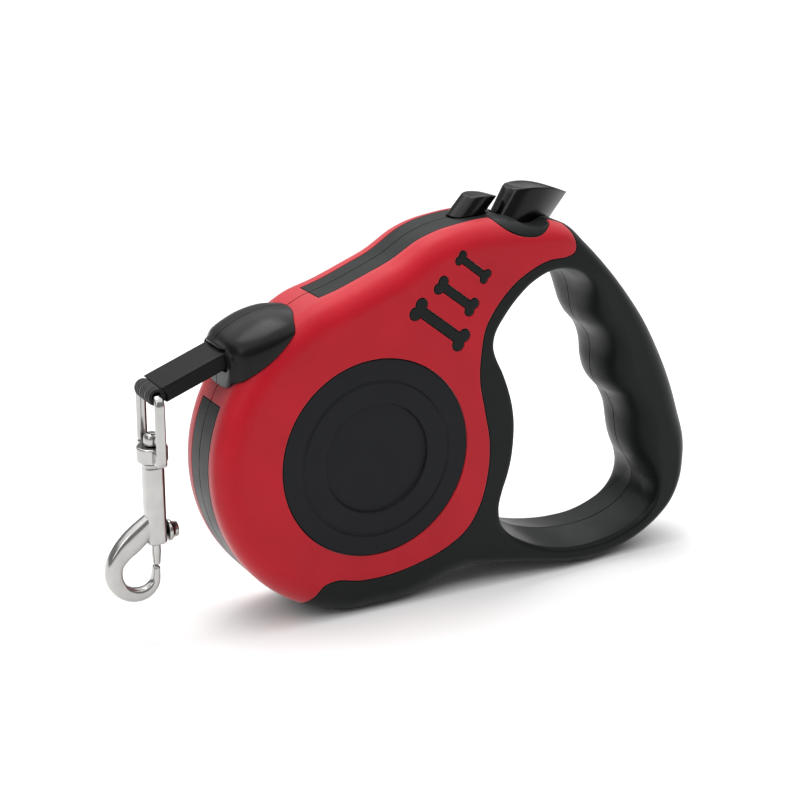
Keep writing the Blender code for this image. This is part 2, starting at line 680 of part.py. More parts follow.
def spiral(inner, outer, turns, thick, per_turn=18):
    """Outline of a flat strip wound in a spiral."""
    count = int(turns * per_turn)
    sides = []
    for shift in (0.0, thick):
        line = []
        for k in range(count + 1):
            radius = inner + (outer - inner) * k / count + shift
            angle = 2 * math.pi * k / per_turn
            line.append((radius * math.cos(angle), REEL_Z + radius * math.sin(angle)))
        sides.append(line)
    return sides[0] + sides[1][::-1]


def build_reel():
    axis = pivot("reel_spin_axis", (0, 0, REEL_Z))
    bore = AXLE_R + GAP
    drum = [(bore, -7.7), (FLANGE_R, -7.7), (FLANGE_R, -6.5), (HUB_R, -6.5), (HUB_R, 6.5), (FLANGE_R, 6.5),
            (FLANGE_R, 7.7), (HUB_R - 2, 7.7), (HUB_R - 2, -6.3), (bore, -6.3)]
    part(turned("reel_drum", drum, 40), "white", axis)
    circle = arc((0, REEL_Z), bore, 0, 345, 24)
    part(prism("ratchet_wheel", [ratchet_outline(), circle], -9.5, -8.0), "white", axis)
    cover = [(bore, 6.2), (HUB_R - 2.3, 6.2), (HUB_R - 2.3, 7.4), (bore, 7.4)]
    part(turned("spring_cover", cover, 32), "white", axis)
    part(prism("mainspring", [spiral(8.0, 22.6, 5, 0.5)], -5.9, 5.9), "steel", axis)
    winding = [(HUB_R + 0.3, -6.1), (WINDING_R, -6.1), (WINDING_R, 6.1), (HUB_R + 0.3, 6.1)]
    part(turned("tape_winding", winding, 40), "webbing", axis)
    for label, low, high in (("left", -11.1, -9.8), ("right", 8.0, 11.1)):
        washer = [(bore, low), (8.5, low), (8.5, high), (bore, high)]
        part(turned("axle_washer_" + label, washer, 24), "steel")


# ---------------------------------------------------------------- tape end and snap

def build_tape_end():
    part(tape_block("tape_run", -34, -1.8, TAPE_WIDTH, TAPE_THICK), "webbing")
    part(tape_block("tape_sleeve", -1.5, SLEEVE_END, TAPE_WIDTH + 2.0, 4.8, 0.5), "gloss")
    x, z = on_tape(LOOP_T)
    ring_out = arc((x, z), 2.8, 0, 345, 24)
    hole = arc((x, z), 1.6, 0, 345, 24)
    part(prism("tape_loop", [ring_out, hole], -5.9, 5.9), "webbing")


EYE_HALF = 7.5                 # from the middle of the eye to the middle of its legs
EYE_WIRE = 1.15
EYE_FOOT = 54.8                # underside of the eye's base
EYE_FLOOR = 59.4               # top of the eye's base


def build_swivel_eye():
    """A bail whose top bar lies in the tape's loop, on a base with a hole for the swivel pin."""
    x, z = on_tape(LOOP_T)
    axis = pivot("hook_swing_axis", (x, 0, z))
    height = EYE_FLOOR - EYE_FOOT
    base = block("swivel_eye", (x, 0, EYE_FOOT + height / 2), (3.4, 2 * EYE_HALF + 1.6, height), 0.0, 0.8)
    eye = part(base, "chrome", axis)
    boss = rod("swivel_eye_boss", (x, 0, EYE_FOOT), (x, 0, EYE_FLOOR), 4.6, 24)
    combine(eye, cutter(boss), "UNION")
    bend = 2.4
    corner = [(x, EYE_HALF - bend + bend * math.cos(a), z - bend + bend * math.sin(a))
              for a in np.linspace(0, math.pi / 2, 6)]
    path = [(x, EYE_HALF, EYE_FOOT + 1.5), (x, EYE_HALF, 64)] + corner
    path = path + [(px, -py, pz) for px, py, pz in path[::-1]]
    combine(eye, cutter(wire("swivel_eye_bail", path, EYE_WIRE)), "UNION")
    hole = rod("swivel_eye_hole", (x, 0, 50), (x, 0, 64), 1.6, 16)
    combine(eye, cutter(hole), "DIFFERENCE")
    return axis


# Snap: height of the barrel's ends and of the knob
BARREL_TOP = EYE_FOOT - GAP
BARREL_END = 29.4
KNOB_Z = 32.6
BARREL_R = 3.05


def build_snap():
    """The bolt snap: barrel and hook, the sliding bolt with its thumb knob, and the bolt's spring."""
    x, _ = on_tape(LOOP_T)
    axis = pivot("hook_swivel_axis", (x, 0, BARREL_TOP))
    barrel = [(0, BARREL_TOP), (2.7, BARREL_TOP), (BARREL_R, BARREL_TOP - 0.5), (BARREL_R, BARREL_END + 0.5),
              (2.7, BARREL_END), (0, BARREL_END)]
    body = part(turned("hook_body", barrel, 24, (x, 0, 0), False, "Z"), "chrome", axis)
    hook = [(x - 0.8, 0, 38.6, 0.55), (x - 2.6, 0, 35.6, 0.95), (x - 6.0, 0, 32.4, 1.05), (x - 10.0, 0, 29.0, 1.1),
            (x - 12.9, 0, 25.0, 1.15), (x - 13.4, 0, 20.6, 1.15), (x - 11.4, 0, 16.4, 1.1),
            (x - 7.6, 0, 14.0, 1.0), (x - 3.4, 0, 14.2, 0.85), (x - 0.5, 0, 16.6, 0.7), (x + 0.5, 0, 21.2, 0.55)]
    combine(body, cutter(wire("hook_bend", hook, 2.2)), "UNION")
    bore = rod("hook_bore", (x, 0, BARREL_END - 4), (x, 0, BARREL_TOP - 6), 1.75, 16)
    combine(body, cutter(bore), "DIFFERENCE")
    knob_slot = block("hook_knob_slot", (x + 2.6, 0, KNOB_Z + 2.8), (5.2, 1.9, 9.4))
    combine(body, cutter(knob_slot), "DIFFERENCE")
    pin = [(0, BARREL_TOP + 0.3), (1.2, BARREL_TOP + 0.3), (1.2, EYE_FLOOR + GAP), (2.4, EYE_FLOOR + GAP),
           (2.4, EYE_FLOOR + 2.6), (1.9, EYE_FLOOR + 3.6), (0, EYE_FLOOR + 3.9)]
    part(turned("swivel_pin", pin, 20, (x, 0, 0), False, "Z"), "chrome", axis)
    slide = pivot("bolt_slide_axis", (x, 0, KNOB_Z))
    bolt = [(0, KNOB_Z + 3.4), (1.4, KNOB_Z + 3.4), (1.4, 26.6), (1.1, 22.8), (0, 22.6)]
    part(turned("hook_bolt", bolt, 16, (x, 0, 0), False, "Z"), "chrome", slide)
    knob = [(0, 1.7), (0.7, 1.7), (0.7, 3.4), (3.3, 3.4), (3.3, 4.2), (2.3, 5.9), (0, 6.7)]
    knob_mesh = turned("bolt_knob", knob, 16, (0, 0, 0), False, "Z")
    knob_mesh.transform(Matrix.Translation(Vector((x, 0, KNOB_Z)) * MM) @ Matrix.Rotation(math.pi / 2, 4, "Y"))
    part(knob_mesh, "chrome", slide)
    part(coil("bolt_spring", (x, 0, KNOB_Z + 4.1), (x, 0, BARREL_TOP - 6.4), 1.3, 0.2, 5), "steel", axis)


# ---------------------------------------------------------------- brake and lock

PAWL = [(55.4, 107.4), (44.7, 95.8), (33.6, 82.6), (31.6, 80.9), (31.3, 84.9), (42.3, 98.2), (51.2, 108)]


def build_brake():
    """The brake button with its pawl, which drops into the ratchet wheel, and the return spring."""
    axis = pivot("brake_press_axis", BRAKE_BASE[0])
    base = leaf(*BRAKE_BASE)
    button = loft("brake_button", [leaf(*BRAKE_TOP), base, moved(base, PRESS_AXIS * BRAKE_DEPTH)])
    part(button, "gloss", axis)
    pawl = part(prism("brake_pawl", [PAWL], -9.4, -8.0), "white", axis)
    foot = block("brake_pawl_foot", (53.2, -4.3, 107.9), (8.0, 10.2, 1.4), math.radians(9.4))
    combine(pawl, cutter(foot), "UNION")
    part(coil("brake_spring", SPRING_SEAT, SPRING_SEAT - PRESS_AXIS * 6.6, 2.2, 0.25, 3), "steel")


def build_lock():
    """The lock button and its bar, which slides under the pressed brake button's skirt."""
    axis = pivot("lock_slide_axis", LOCK_BASE[0])
    base = leaf(*LOCK_BASE)
    button = loft("lock_button", [leaf(*LOCK_TOP), base, moved(base, LOCK_LEAN * LOCK_DEPTH)])
    part(button, "gloss", axis)
    part(block("lock_bar", (38.5, 0, 111.1), (15, 6, 1.6), math.radians(3.5)), "white", axis)


def start():
    """An empty scene with a collection for the leash and one for the cutters."""
    for old in list(bpy.data.objects):
        bpy.data.objects.remove(old)
    for name in ("retractable_leash", "cutters"):
        collection = bpy.data.collections.new(name)
        bpy.context.scene.collection.children.link(collection)


start()
build_casing()
build_reel()
build_tape_end()
build_swivel_eye()
build_snap()
build_brake()
build_lock()
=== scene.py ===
"""Looks of the retractable leash: smooth shells, nose, buttons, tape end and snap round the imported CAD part.

Lengths below are in millimetres, in the CAD part's frame; meshes are made in metres.
"""
import json
import math

import bmesh
import bpy
import numpy as np
from mathutils import Matrix, Vector


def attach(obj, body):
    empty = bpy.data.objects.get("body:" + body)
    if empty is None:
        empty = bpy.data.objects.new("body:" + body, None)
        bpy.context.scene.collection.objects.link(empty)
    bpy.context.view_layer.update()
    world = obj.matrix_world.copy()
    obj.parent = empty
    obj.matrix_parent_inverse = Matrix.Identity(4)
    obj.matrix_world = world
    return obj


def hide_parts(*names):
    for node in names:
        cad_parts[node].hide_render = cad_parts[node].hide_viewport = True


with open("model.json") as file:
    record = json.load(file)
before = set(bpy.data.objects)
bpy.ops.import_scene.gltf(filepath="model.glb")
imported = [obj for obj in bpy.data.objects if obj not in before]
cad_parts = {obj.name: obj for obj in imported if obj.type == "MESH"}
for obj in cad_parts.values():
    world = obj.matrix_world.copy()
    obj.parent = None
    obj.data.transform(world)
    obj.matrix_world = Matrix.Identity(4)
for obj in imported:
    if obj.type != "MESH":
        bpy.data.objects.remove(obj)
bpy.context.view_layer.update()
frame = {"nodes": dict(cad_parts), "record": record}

MM = 0.001
GAP = 0.3
PARTING_Y = 0.5
OUTSIDE = 20                          # a distance along Y that is clear of the casing

# Casing, as in the CAD part
REEL_Z = 49.4
DRUM_R = 50.0
FOOT_HALF = 7.7
HALF_THICK = 15.6
GRIP_HALF_THICK = 13.6
GRIP_START_X = 64.0
GRIP_FULL_X = 94.0
WALL = 3.0
EDGE_R = 7.5
HOLE_EDGE_R = 1.8
GRIP_EDGE_R = 12.5
EDGE_FIT = 0.92                       # share of the way to the middle that an edge's rounding may take
HOLE_CROWN = 1.5
GROOVE_FADE = 1.3                     # above 1, the finger grooves last longer up the rounding
LEAST_WIDTH = 0.4                     # of the rounding of an inset skin
LEAST_DEPTH = 0.8
DRUM_TOP_ANGLE = 122                  # where the arm leaves the drum's circle
COVER_DEPTH = 1.5
BAND_HALF = 6.3
BADGE_R = 30.6

# Tape line
MOUTH = (-42.3, 84.1)
TAPE_DIP = math.radians(21.3)
TAPE_WIDTH = 12.0
SLEEVE_END = 22.2
LOOP_T = 23.8

UNDERSIDE_AND_BACK = [
    (13, 0.7), (18.5, 2.0), (24.5, 4.2), (31, 6.2), (38, 6.1), (47, 5.1), (57, 3.4), (68, 1.2), (80, 0.0),
    (90, 1.3), (97.6, 3.9), (104.8, 8.1), (110.9, 13.8), (114.6, 21), (116, 29), (115.9, 36.5),
    (113.4, 45.4), (109.6, 56.5), (104.2, 68.2), (98.2, 78.6), (90.6, 88.8), (82.4, 98.1), (74.2, 106.2),
    (67.9, 111.8), (61, 114.2), (54, 114.9), (46, 115.8), (38.5, 116.2), (31, 115.5), (24, 114.2),
    (17.7, 111.9), (9.2, 106.9), (0.8, 103.4), (-8.3, 99.9), (-17.8, 96.9),
]
HAND_HOLE = [
    (49.4, 48), (48.7, 41), (47.4, 35.6), (45.6, 30.4), (44.5, 25.6), (45.2, 21), (48.1, 17.2),
    (52.2, 14.4), (58.6, 11.3), (66.2, 9.2), (73.9, 8.2), (80.1, 8.2), (86.5, 8.9), (93, 10.9),
    (98.2, 13.7), (101.7, 17.6), (102.9, 22.2), (101.2, 26.4), (98.4, 30.6), (96.2, 35.6), (95.3, 40.4),
    (94.7, 44.7), (93.3, 48.3), (91.3, 51.7), (88.9, 54.1), (86.3, 57.4), (84.9, 62.4), (84.9, 67.8),
    (83.8, 71.9), (82, 74.8), (78.8, 78.2), (77.1, 81.4), (76.3, 85.4), (75.4, 89.8), (73.4, 93.6),
    (70, 96.1), (65.4, 97.6), (60.4, 97.5), (54.5, 95.1), (49.4, 91), (45, 85.9), (42.3, 81.6),
    (41.7, 78), (42.6, 74.8), (45, 69.8), (47.2, 64), (48.7, 58.4), (49.4, 53),
]
GRIP_HOLE_POINTS = range(17, 35)      # the stretch of HAND_HOLE that the fingers hold
GRIP_NEAR = 3.0                       # fully grip up to this distance from that stretch
GRIP_FADE = 12.0                      # and no longer grip this much farther away
GROOVE_PITCH = 19.0                   # spacing of the finger grooves
COVER_EDGE = [
    (40.5, 119.2), (42.1, 115.6), (45.4, 112.8), (50.7, 110.8), (55.6, 110.7), (59.7, 112.8),
    (62.9, 115.2), (65.5, 112.9), (67.9, 108.9), (68, 104.5), (65.2, 103.1), (58.6, 102.7), (52.7, 100.6),
    (46.5, 96.8), (40.7, 90.8), (37, 84.8), (35.6, 78.3), (35.1, 68.5), (36.9, 58.6), (38.7, 48.7),
    (38.4, 38.8), (35.6, 28.1), (30.8, 20.8), (23.4, 16.1), (14.4, 13.1), (4.9, 11.3), (-5.5, 11.2),
    (-13.6, 12.7), (-18, 11.7), (-20.5, 9), (-23.6, 5.4), (-26.7, -3.9),
]
BONES = [
    # end A, end B, shaft half width, lobe radius, lobe offset
    ((28.0, 107.1), (36.4, 100.5), 0.95, 1.15, 1.0),
    ((21.4, 99.7), (31.8, 91.7), 1.2, 1.5, 1.28),
    ((13.9, 93.3), (28.3, 82.0), 1.5, 1.85, 1.62),
]
TOP_BAND_HEIGHTS = (88, 130)
FRONT_BAND_MIDDLE = (-45, 0, 35)
FRONT_BAND_HEIGHT = 69.4
TOP_BAND = [(-14, BAND_HALF), (12, 6.8), (24, 7.6), (40, 7.4), (46, 5.5), (52, 8.0), (80, 12)]
SCREWS = [(72.6, 100.5), (92.4, 73.0), (106.8, 35.0), (36.8, 15.6)]
SCREW_BOSS_R = 3.1
SCREW_HEAD_R = 2.4
SCREW_R = 1.0
SCREW_HOLE_R = 1.35
SCREW_DEPTH = 1.4                     # from the casing's face down to the top of the head

# Buttons: front and rear end in the middle plane, and width
BRAKE_TOP = ((52.3, 0, 123.1), (74.1, 0, 119.4), 12.0)
BRAKE_BASE = ((47.6, 0, 115.2), (67.7, 0, 111.6), 11.0)
BRAKE_HOLE = ((47.6, 0, 115.2), (69.3, 0, 111.4), 11.0)
LOCK_TOP = ((37.9, 0, 121.9), (49.0, 0, 120.6), 9.2)
LOCK_BASE = ((32.6, 0, 116.2), (45.2, 0, 115.8), 9.4)
LOCK_STEM = ((36.4, 0, 116.2), (44.6, 0, 115.8), 7.6)
LOCK_HOLE = ((33.2, 0, 116.2), (45.4, 0, 115.5), 8.2)
BRAKE_DIP = (56.2, 112.7)             # lowest point of the dip in the casing round the brake
DIP_R = 10.0
PRESS_AXIS = Vector((-0.23, 0.0, -0.973)).normalized()
LOCK_LEAN = Vector((-0.66, 0.0, -0.75)).normalized()
BUTTON_BLUNT = 0.42                   # share of a button's length that its round front takes
BUTTON_POWER = 2.6                    # squareness of that front
BUTTON_POINT = 1.7                    # how full the pointed rear is
BUTTON_PLAY = 0.45                    # space round a button in its hole
BUTTON_DEPTH = 3.5                    # how far a button reaches below the casing's edge
BUTTON_RINGS = (0.2, 0.4, 0.6, 0.8, 0.93)

NOSE_SECTIONS = [
    # t along the tape line, half width, height above and depth below the line, squareness
    (-28, 6.5, 0.6, 9, 2.2), (-23.5, 10, 3.0, 12, 2.2), (-18, 13.6, 5.4, 14, 2.3),
    (-12, 14.6, 6.4, 14.5, 2.4), (-6.5, 14.0, 6.3, 14, 2.5), (-2.2, 12.4, 5.6, 12, 2.7),
    (0, 10.3, 4.4, 9.5, 2.7),
]
CHIN = 0.4                            # how far the underside leads the top, per millimetre of depth
SLOT_ENDS = (-35, 22)                 # of the tape's slot through covers and casing, along the tape line
SLOT_WIDTH = TAPE_WIDTH + 2.0
SLOT_HEIGHT = 3.0

OUTLINE_POINTS = (560, 340)           # round the casing and round the hand hole


# ---------------------------------------------------------------- outlines

def smooth_curve(points, per_span=12, closed=False):
    """Centripetal Catmull-Rom curve through points of any dimension."""
    pts = [np.array(p, float) for p in points]
    ring = [pts[-1]] + pts + pts[:2] if closed else [2 * pts[0] - pts[1]] + pts + [2 * pts[-1] - pts[-2]]
    dense = []
    for p0, p1, p2, p3 in zip(ring, ring[1:], ring[2:], ring[3:]):
        t1 = np.linalg.norm(p1 - p0) ** 0.5
        t2 = t1 + np.linalg.norm(p2 - p1) ** 0.5
        t3 = t2 + np.linalg.norm(p3 - p2) ** 0.5
        for t in np.linspace(t1, t2, per_span, endpoint=False):
            a1 = (t1 - t) / t1 * p0 + t / t1 * p1
            a2 = (t2 - t) / (t2 - t1) * p1 + (t - t1) / (t2 - t1) * p2
            a3 = (t3 - t) / (t3 - t2) * p2 + (t - t2) / (t3 - t2) * p3
            b1 = (t2 - t) / t2 * a1 + t / t2 * a2
            b2 = (t3 - t) / (t3 - t1) * a2 + (t - t1) / (t3 - t1) * a3
            dense.append((t2 - t) / (t2 - t1) * b1 + (t - t1) / (t2 - t1) * b2)
    dense.append(pts[0] if closed else pts[-1])
    return np.array(dense)


def spread(line, count, closed=False):
    """Evenly spaced points along a polyline; a closed line repeats its first point at its end."""
    steps = np.r_[0, np.cumsum(np.linalg.norm(np.diff(line, axis=0), axis=1))]
    wanted = np.linspace(0, steps[-1], count, endpoint=not closed)
    return np.column_stack([np.interp(wanted, steps, column) for column in line.T])


def arc(centre, radius, start, end, count):
    """Points on a circle between two angles in degrees."""
    turn = np.radians(np.linspace(start, end, count))
    return np.column_stack([centre[0] + radius * np.cos(turn), centre[1] + radius * np.sin(turn)])


def body_outline(count):
    """Side view of the casing: the drum's circle, cut flat at the foot, then underside, grip and arm."""
    foot_angle = math.degrees(math.asin(FOOT_HALF / DRUM_R))
    drum = arc((0, REEL_Z), DRUM_R, DRUM_TOP_ANGLE, 270 - foot_angle, 240)
    drum[-1, 1] = 0.0
    rest = smooth_curve([(FOOT_HALF, 0)] + UNDERSIDE_AND_BACK + [tuple(drum[0])])
    return spread(np.vstack([drum, rest]), count, closed=True)


def inward_normals(loop, solid_inside):
    """Unit normals along a closed loop that point into the material."""
    along = np.roll(loop, -1, axis=0) - np.roll(loop, 1, axis=0)
    normal = np.column_stack([-along[:, 1], along[:, 0]])
    normal /= np.linalg.norm(normal, axis=1)[:, None]
    area = np.sum(loop[:, 0] * np.roll(loop[:, 1], -1) - np.roll(loop[:, 0], -1) * loop[:, 1])
    return normal * (1 if (area > 0) == solid_inside else -1)


def reach(points, normals, others):
    """How far each edge point can move inwards before it meets the middle of the material."""
    gap = others[None, :, :] - points[:, None, :]
    ahead = np.einsum("ijk,ik->ij", gap, normals)
    radius = np.full(ahead.shape, np.inf)
    near = ahead > 1e-6
    radius[near] = (gap ** 2).sum(axis=2)[near] / (2 * ahead[near])
    return radius.min(axis=1)


def average(values, half_window):
    """Moving average along a closed loop."""
    window = range(-half_window, half_window + 1)
    return sum(np.roll(values, k, axis=0) for k in window) / len(window)


def smooth_widths(widths):
    """Even out widths along a loop without making any point wider."""
    lowest = np.minimum.reduce([np.roll(widths, k) for k in range(-14, 15)])
    for _ in range(3):
        lowest = average(lowest, 7)
    return np.minimum(lowest, widths)


def half_thickness(x):
    """Half the casing's thickness, which eases off from the arm to the grip."""
    t = np.clip((x - GRIP_START_X) / (GRIP_FULL_X - GRIP_START_X), 0, 1)
    return HALF_THICK + (GRIP_HALF_THICK - HALF_THICK) * t * t * (3 - 2 * t)


class Edge:
    """One edge of the casing, with the shape of its rounding at every point."""

    def __init__(self, points, radius, inside, both, is_grip):
        self.points = points
        self.normals = inward_normals(points, inside)
        self.radius = radius
        self.is_grip = is_grip
        self.width = smooth_widths(np.minimum(radius, EDGE_FIT * reach(points, self.normals, both)))
        self.crown = HOLE_CROWN * (0 if inside else 1) * (1 - is_grip)
        step = np.linalg.norm(points[1] - points[0])
        self.calm = average(points, int(GROOVE_PITCH / 2 / step))
        self.calm_normals = inward_normals(self.calm, inside)

    def start(self, fade):
        """Edge points and normals; the finger grooves die out as fade goes to 1."""
        share = (fade * self.is_grip)[:, None]
        points = self.points + (self.calm - self.points) * share
        normals = self.normals + (self.calm_normals - self.normals) * share
        return points, normals / np.linalg.norm(normals, axis=1)[:, None]


def casing_edges():
    """The casing's outer edge and the hand hole's edge, which is rounder where the fingers hold it."""
    outer = body_outline(OUTLINE_POINTS[0])
    hole = spread(smooth_curve(HAND_HOLE, closed=True), OUTLINE_POINTS[1], closed=True)
    both = np.vstack([outer, hole])
    grip = np.array([HAND_HOLE[k] for k in GRIP_HOLE_POINTS])
    away = np.min(np.linalg.norm(hole[:, None, :] - grip[None, :, :], axis=2), axis=1)
    is_grip = average(1 - np.clip((away - GRIP_NEAR) / GRIP_FADE, 0, 1), 6)
    hole_r = HOLE_EDGE_R + (GRIP_EDGE_R - HOLE_EDGE_R) * is_grip
    outer_edge = Edge(outer, np.full(len(outer), EDGE_R), True, both, np.zeros(len(outer)))
    return [outer_edge, Edge(hole, hole_r, False, both, is_grip)]


EDGES = casing_edges()


# ---------------------------------------------------------------- mesh helpers

def mesh_from(bm, name):
    """The finished mesh, with its faces pointing out."""
    bmesh.ops.recalc_face_normals(bm, faces=bm.faces)
    if bm.calc_volume(signed=True) < 0:
        bmesh.ops.reverse_faces(bm, faces=bm.faces)
    mesh = bpy.data.meshes.new(name)
    bm.to_mesh(mesh)
    bm.free()
    return mesh


def piece(mesh):
    """A new object in the scene with this mesh."""
    made = bpy.data.objects.new(mesh.name, mesh)
    bpy.context.scene.collection.objects.link(made)
    return made


def carve(target, tool_mesh, operation="DIFFERENCE"):
    """Apply a Boolean with a helper mesh, which is removed again."""
    tool = piece(tool_mesh)
    change = target.modifiers.new("carve", "BOOLEAN")
    change.operation = operation
    change.object = tool
    change.solver = "MANIFOLD"
    graph = bpy.context.evaluated_depsgraph_get()
    result = bpy.data.meshes.new_from_object(target.evaluated_get(graph))
    result.name = target.name
    target.modifiers.clear()
    target.data = result
    bpy.data.objects.remove(tool)
    return target


def bridge(bm, low, high):
    """A band of faces between two closed rings."""
    for k in range(len(low)):
        n = (k + 1) % len(low)
        bm.faces.new((low[k], low[n], high[n], high[k]))


def fill_between(bm, rings):
    """Flat faces inside the first ring and outside the others."""
    edges = []
    for ring in rings:
        for k in range(len(ring)):
            a, b = ring[k - 1], ring[k]
            edges.append(bm.edges.get((a, b)) or bm.edges.new((a, b)))
    bmesh.ops.triangle_fill(bm, use_beauty=True, use_dissolve=False, edges=edges)


def prism(name, loops, low, high, axis="Y"):
    """Flat outlines, the first one outside and the others holes, extruded along Y or Z."""
    bm = bmesh.new()
    levels = []
    for level in (low, high):
        rings = []
        for loop in loops:
            places = [(a, level, b) if axis == "Y" else (a, b, level) for a, b in loop]
            rings.append([bm.verts.new(Vector(place) * MM) for place in places])
        levels.append(rings)
    for below, above in zip(*levels):
        bridge(bm, below, above)
    for rings in levels:
        fill_between(bm, rings)
    return mesh_from(bm, name)


def loft(name, rings):
    """A closed skin over rings of points that all have the same count."""
    bm = bmesh.new()
    rows = [[bm.verts.new(Vector(place) * MM) for place in ring] for ring in rings]
    for low, high in zip(rows, rows[1:]):
        bridge(bm, low, high)
    bm.faces.new(rows[0])
    bm.faces.new(rows[-1])
    return mesh_from(bm, name)


def turned(name, profile, steps=96, centre=(0, 0, REEL_Z), axis="Y"):
    """A profile of (radius, height) turned about an axis through the centre."""
    bm = bmesh.new()
    verts = [bm.verts.new((radius * MM, 0, height * MM)) for radius, height in profile]
    edges = [bm.edges.new(pair) for pair in zip(verts, verts[1:])]
    bmesh.ops.spin(bm, geom=verts + edges, cent=(0, 0, 0), axis=(0, 0, 1), angle=2 * math.pi,
                   steps=steps, use_merge=True)
    bmesh.ops.remove_doubles(bm, verts=bm.verts, dist=0.001 * MM)
    if axis == "Y":
        bm.transform(Matrix.Rotation(math.radians(-90), 4, "X"))
    if axis == "X":
        bm.transform(Matrix.Rotation(math.radians(90), 4, "Y"))
    bm.transform(Matrix.Translation(Vector(centre) * MM))
    return mesh_from(bm, name)


def rounded_profile(profile, radius, steps=5):
    """The profile with its inner corners rounded; the first and last point stay."""
    result = [profile[0]]
    for before, corner, after in zip(profile, profile[1:], profile[2:]):
        back, ahead = np.subtract(before, corner), np.subtract(after, corner)
        size = min(radius, 0.45 * np.linalg.norm(back), 0.45 * np.linalg.norm(ahead))
        first = np.add(corner, back / np.linalg.norm(back) * size)
        last = np.add(corner, ahead / np.linalg.norm(ahead) * size)
        for t in np.linspace(0, 1, steps + 1):
            place = (1 - t) ** 2 * first + 2 * t * (1 - t) * np.array(corner) + t ** 2 * last
            result.append(tuple(place))
    return result + [profile[-1]]


def rod(name, start, end, radius, sides=40):
    """A round bar between two points."""
    start, end = Vector(start) * MM, Vector(end) * MM
    bm = bmesh.new()
    bmesh.ops.create_cone(bm, cap_ends=True, segments=sides, radius1=radius * MM, radius2=radius * MM,
                          depth=(end - start).length)
    turn = (end - start).to_track_quat("Z", "Y").to_matrix().to_4x4()
    bm.transform(Matrix.Translation((start + end) / 2) @ turn)
    return mesh_from(bm, name)


def block(name, centre, size, tilt=0.0, edge=0.0, segments=5):
    """A box tilted about Y, with its edges rounded if an edge size is given."""
    bm = bmesh.new()
    bmesh.ops.create_cube(bm, size=1.0, matrix=Matrix.Diagonal((*(Vector(size) * MM), 1.0)))
    if edge:
        bmesh.ops.bevel(bm, geom=bm.edges[:], offset=edge * MM, segments=segments, profile=0.5,
                        affect="EDGES")
    bm.transform(Matrix.Translation(Vector(centre) * MM) @ Matrix.Rotation(tilt, 4, "Y"))
    return mesh_from(bm, name)


def strap(name, points, half_wide, half_thick, flat, power=2.6, sides=40):
    """A bar along points (x, y, z, size) in the plane across the flat axis, with rounded ends."""
    line = np.array(points, float)
    along = np.gradient(line[:, :3], axis=0)
    bow = [(math.cos(a), math.sin(a)) for a in (1.57, 1.3, 1.0, 0.7, 0.4, 0.15)]
    stops = [(0, -push, size) for push, size in bow[::-1]]
    stops += [(k, 0.0, 1.0) for k in range(1, len(line) - 1)]
    stops += [(len(line) - 1, push, size) for push, size in bow]
    rings = []
    for k, push, size in stops:
        direction = Vector(along[k]).normalized()
        across = direction.cross(flat).normalized() * half_wide * line[k, 3]
        middle = Vector(line[k, :3]) + direction * (push * half_wide * line[k, 3] * 0.7)
        ring = []
        for n in range(sides):
            turn = 2 * math.pi * n / sides
            a, b = [math.copysign(abs(v) ** (2 / power), v) for v in (math.cos(turn), math.sin(turn))]
            ring.append(middle + (across * a + flat * (half_thick * line[k, 3] ** 0.5 * b)) * size)
        rings.append(ring)
    return loft(name, rings)


def on_tape(t, up=0.0):
    """The point t in front of the mouth on the tape line, raised at right angles to it."""
    x = MOUTH[0] - t * math.cos(TAPE_DIP) - up * math.sin(TAPE_DIP)
    z = MOUTH[1] - t * math.sin(TAPE_DIP) + up * math.cos(TAPE_DIP)
    return x, z


def tape_block(name, start, end, width, thick, edge=0.0):
    """A flat bar along the tape line."""
    x, z = on_tape((start + end) / 2)
    return block(name, (x, 0, z), (end - start, width, thick), -TAPE_DIP, edge)


# ---------------------------------------------------------------- materials

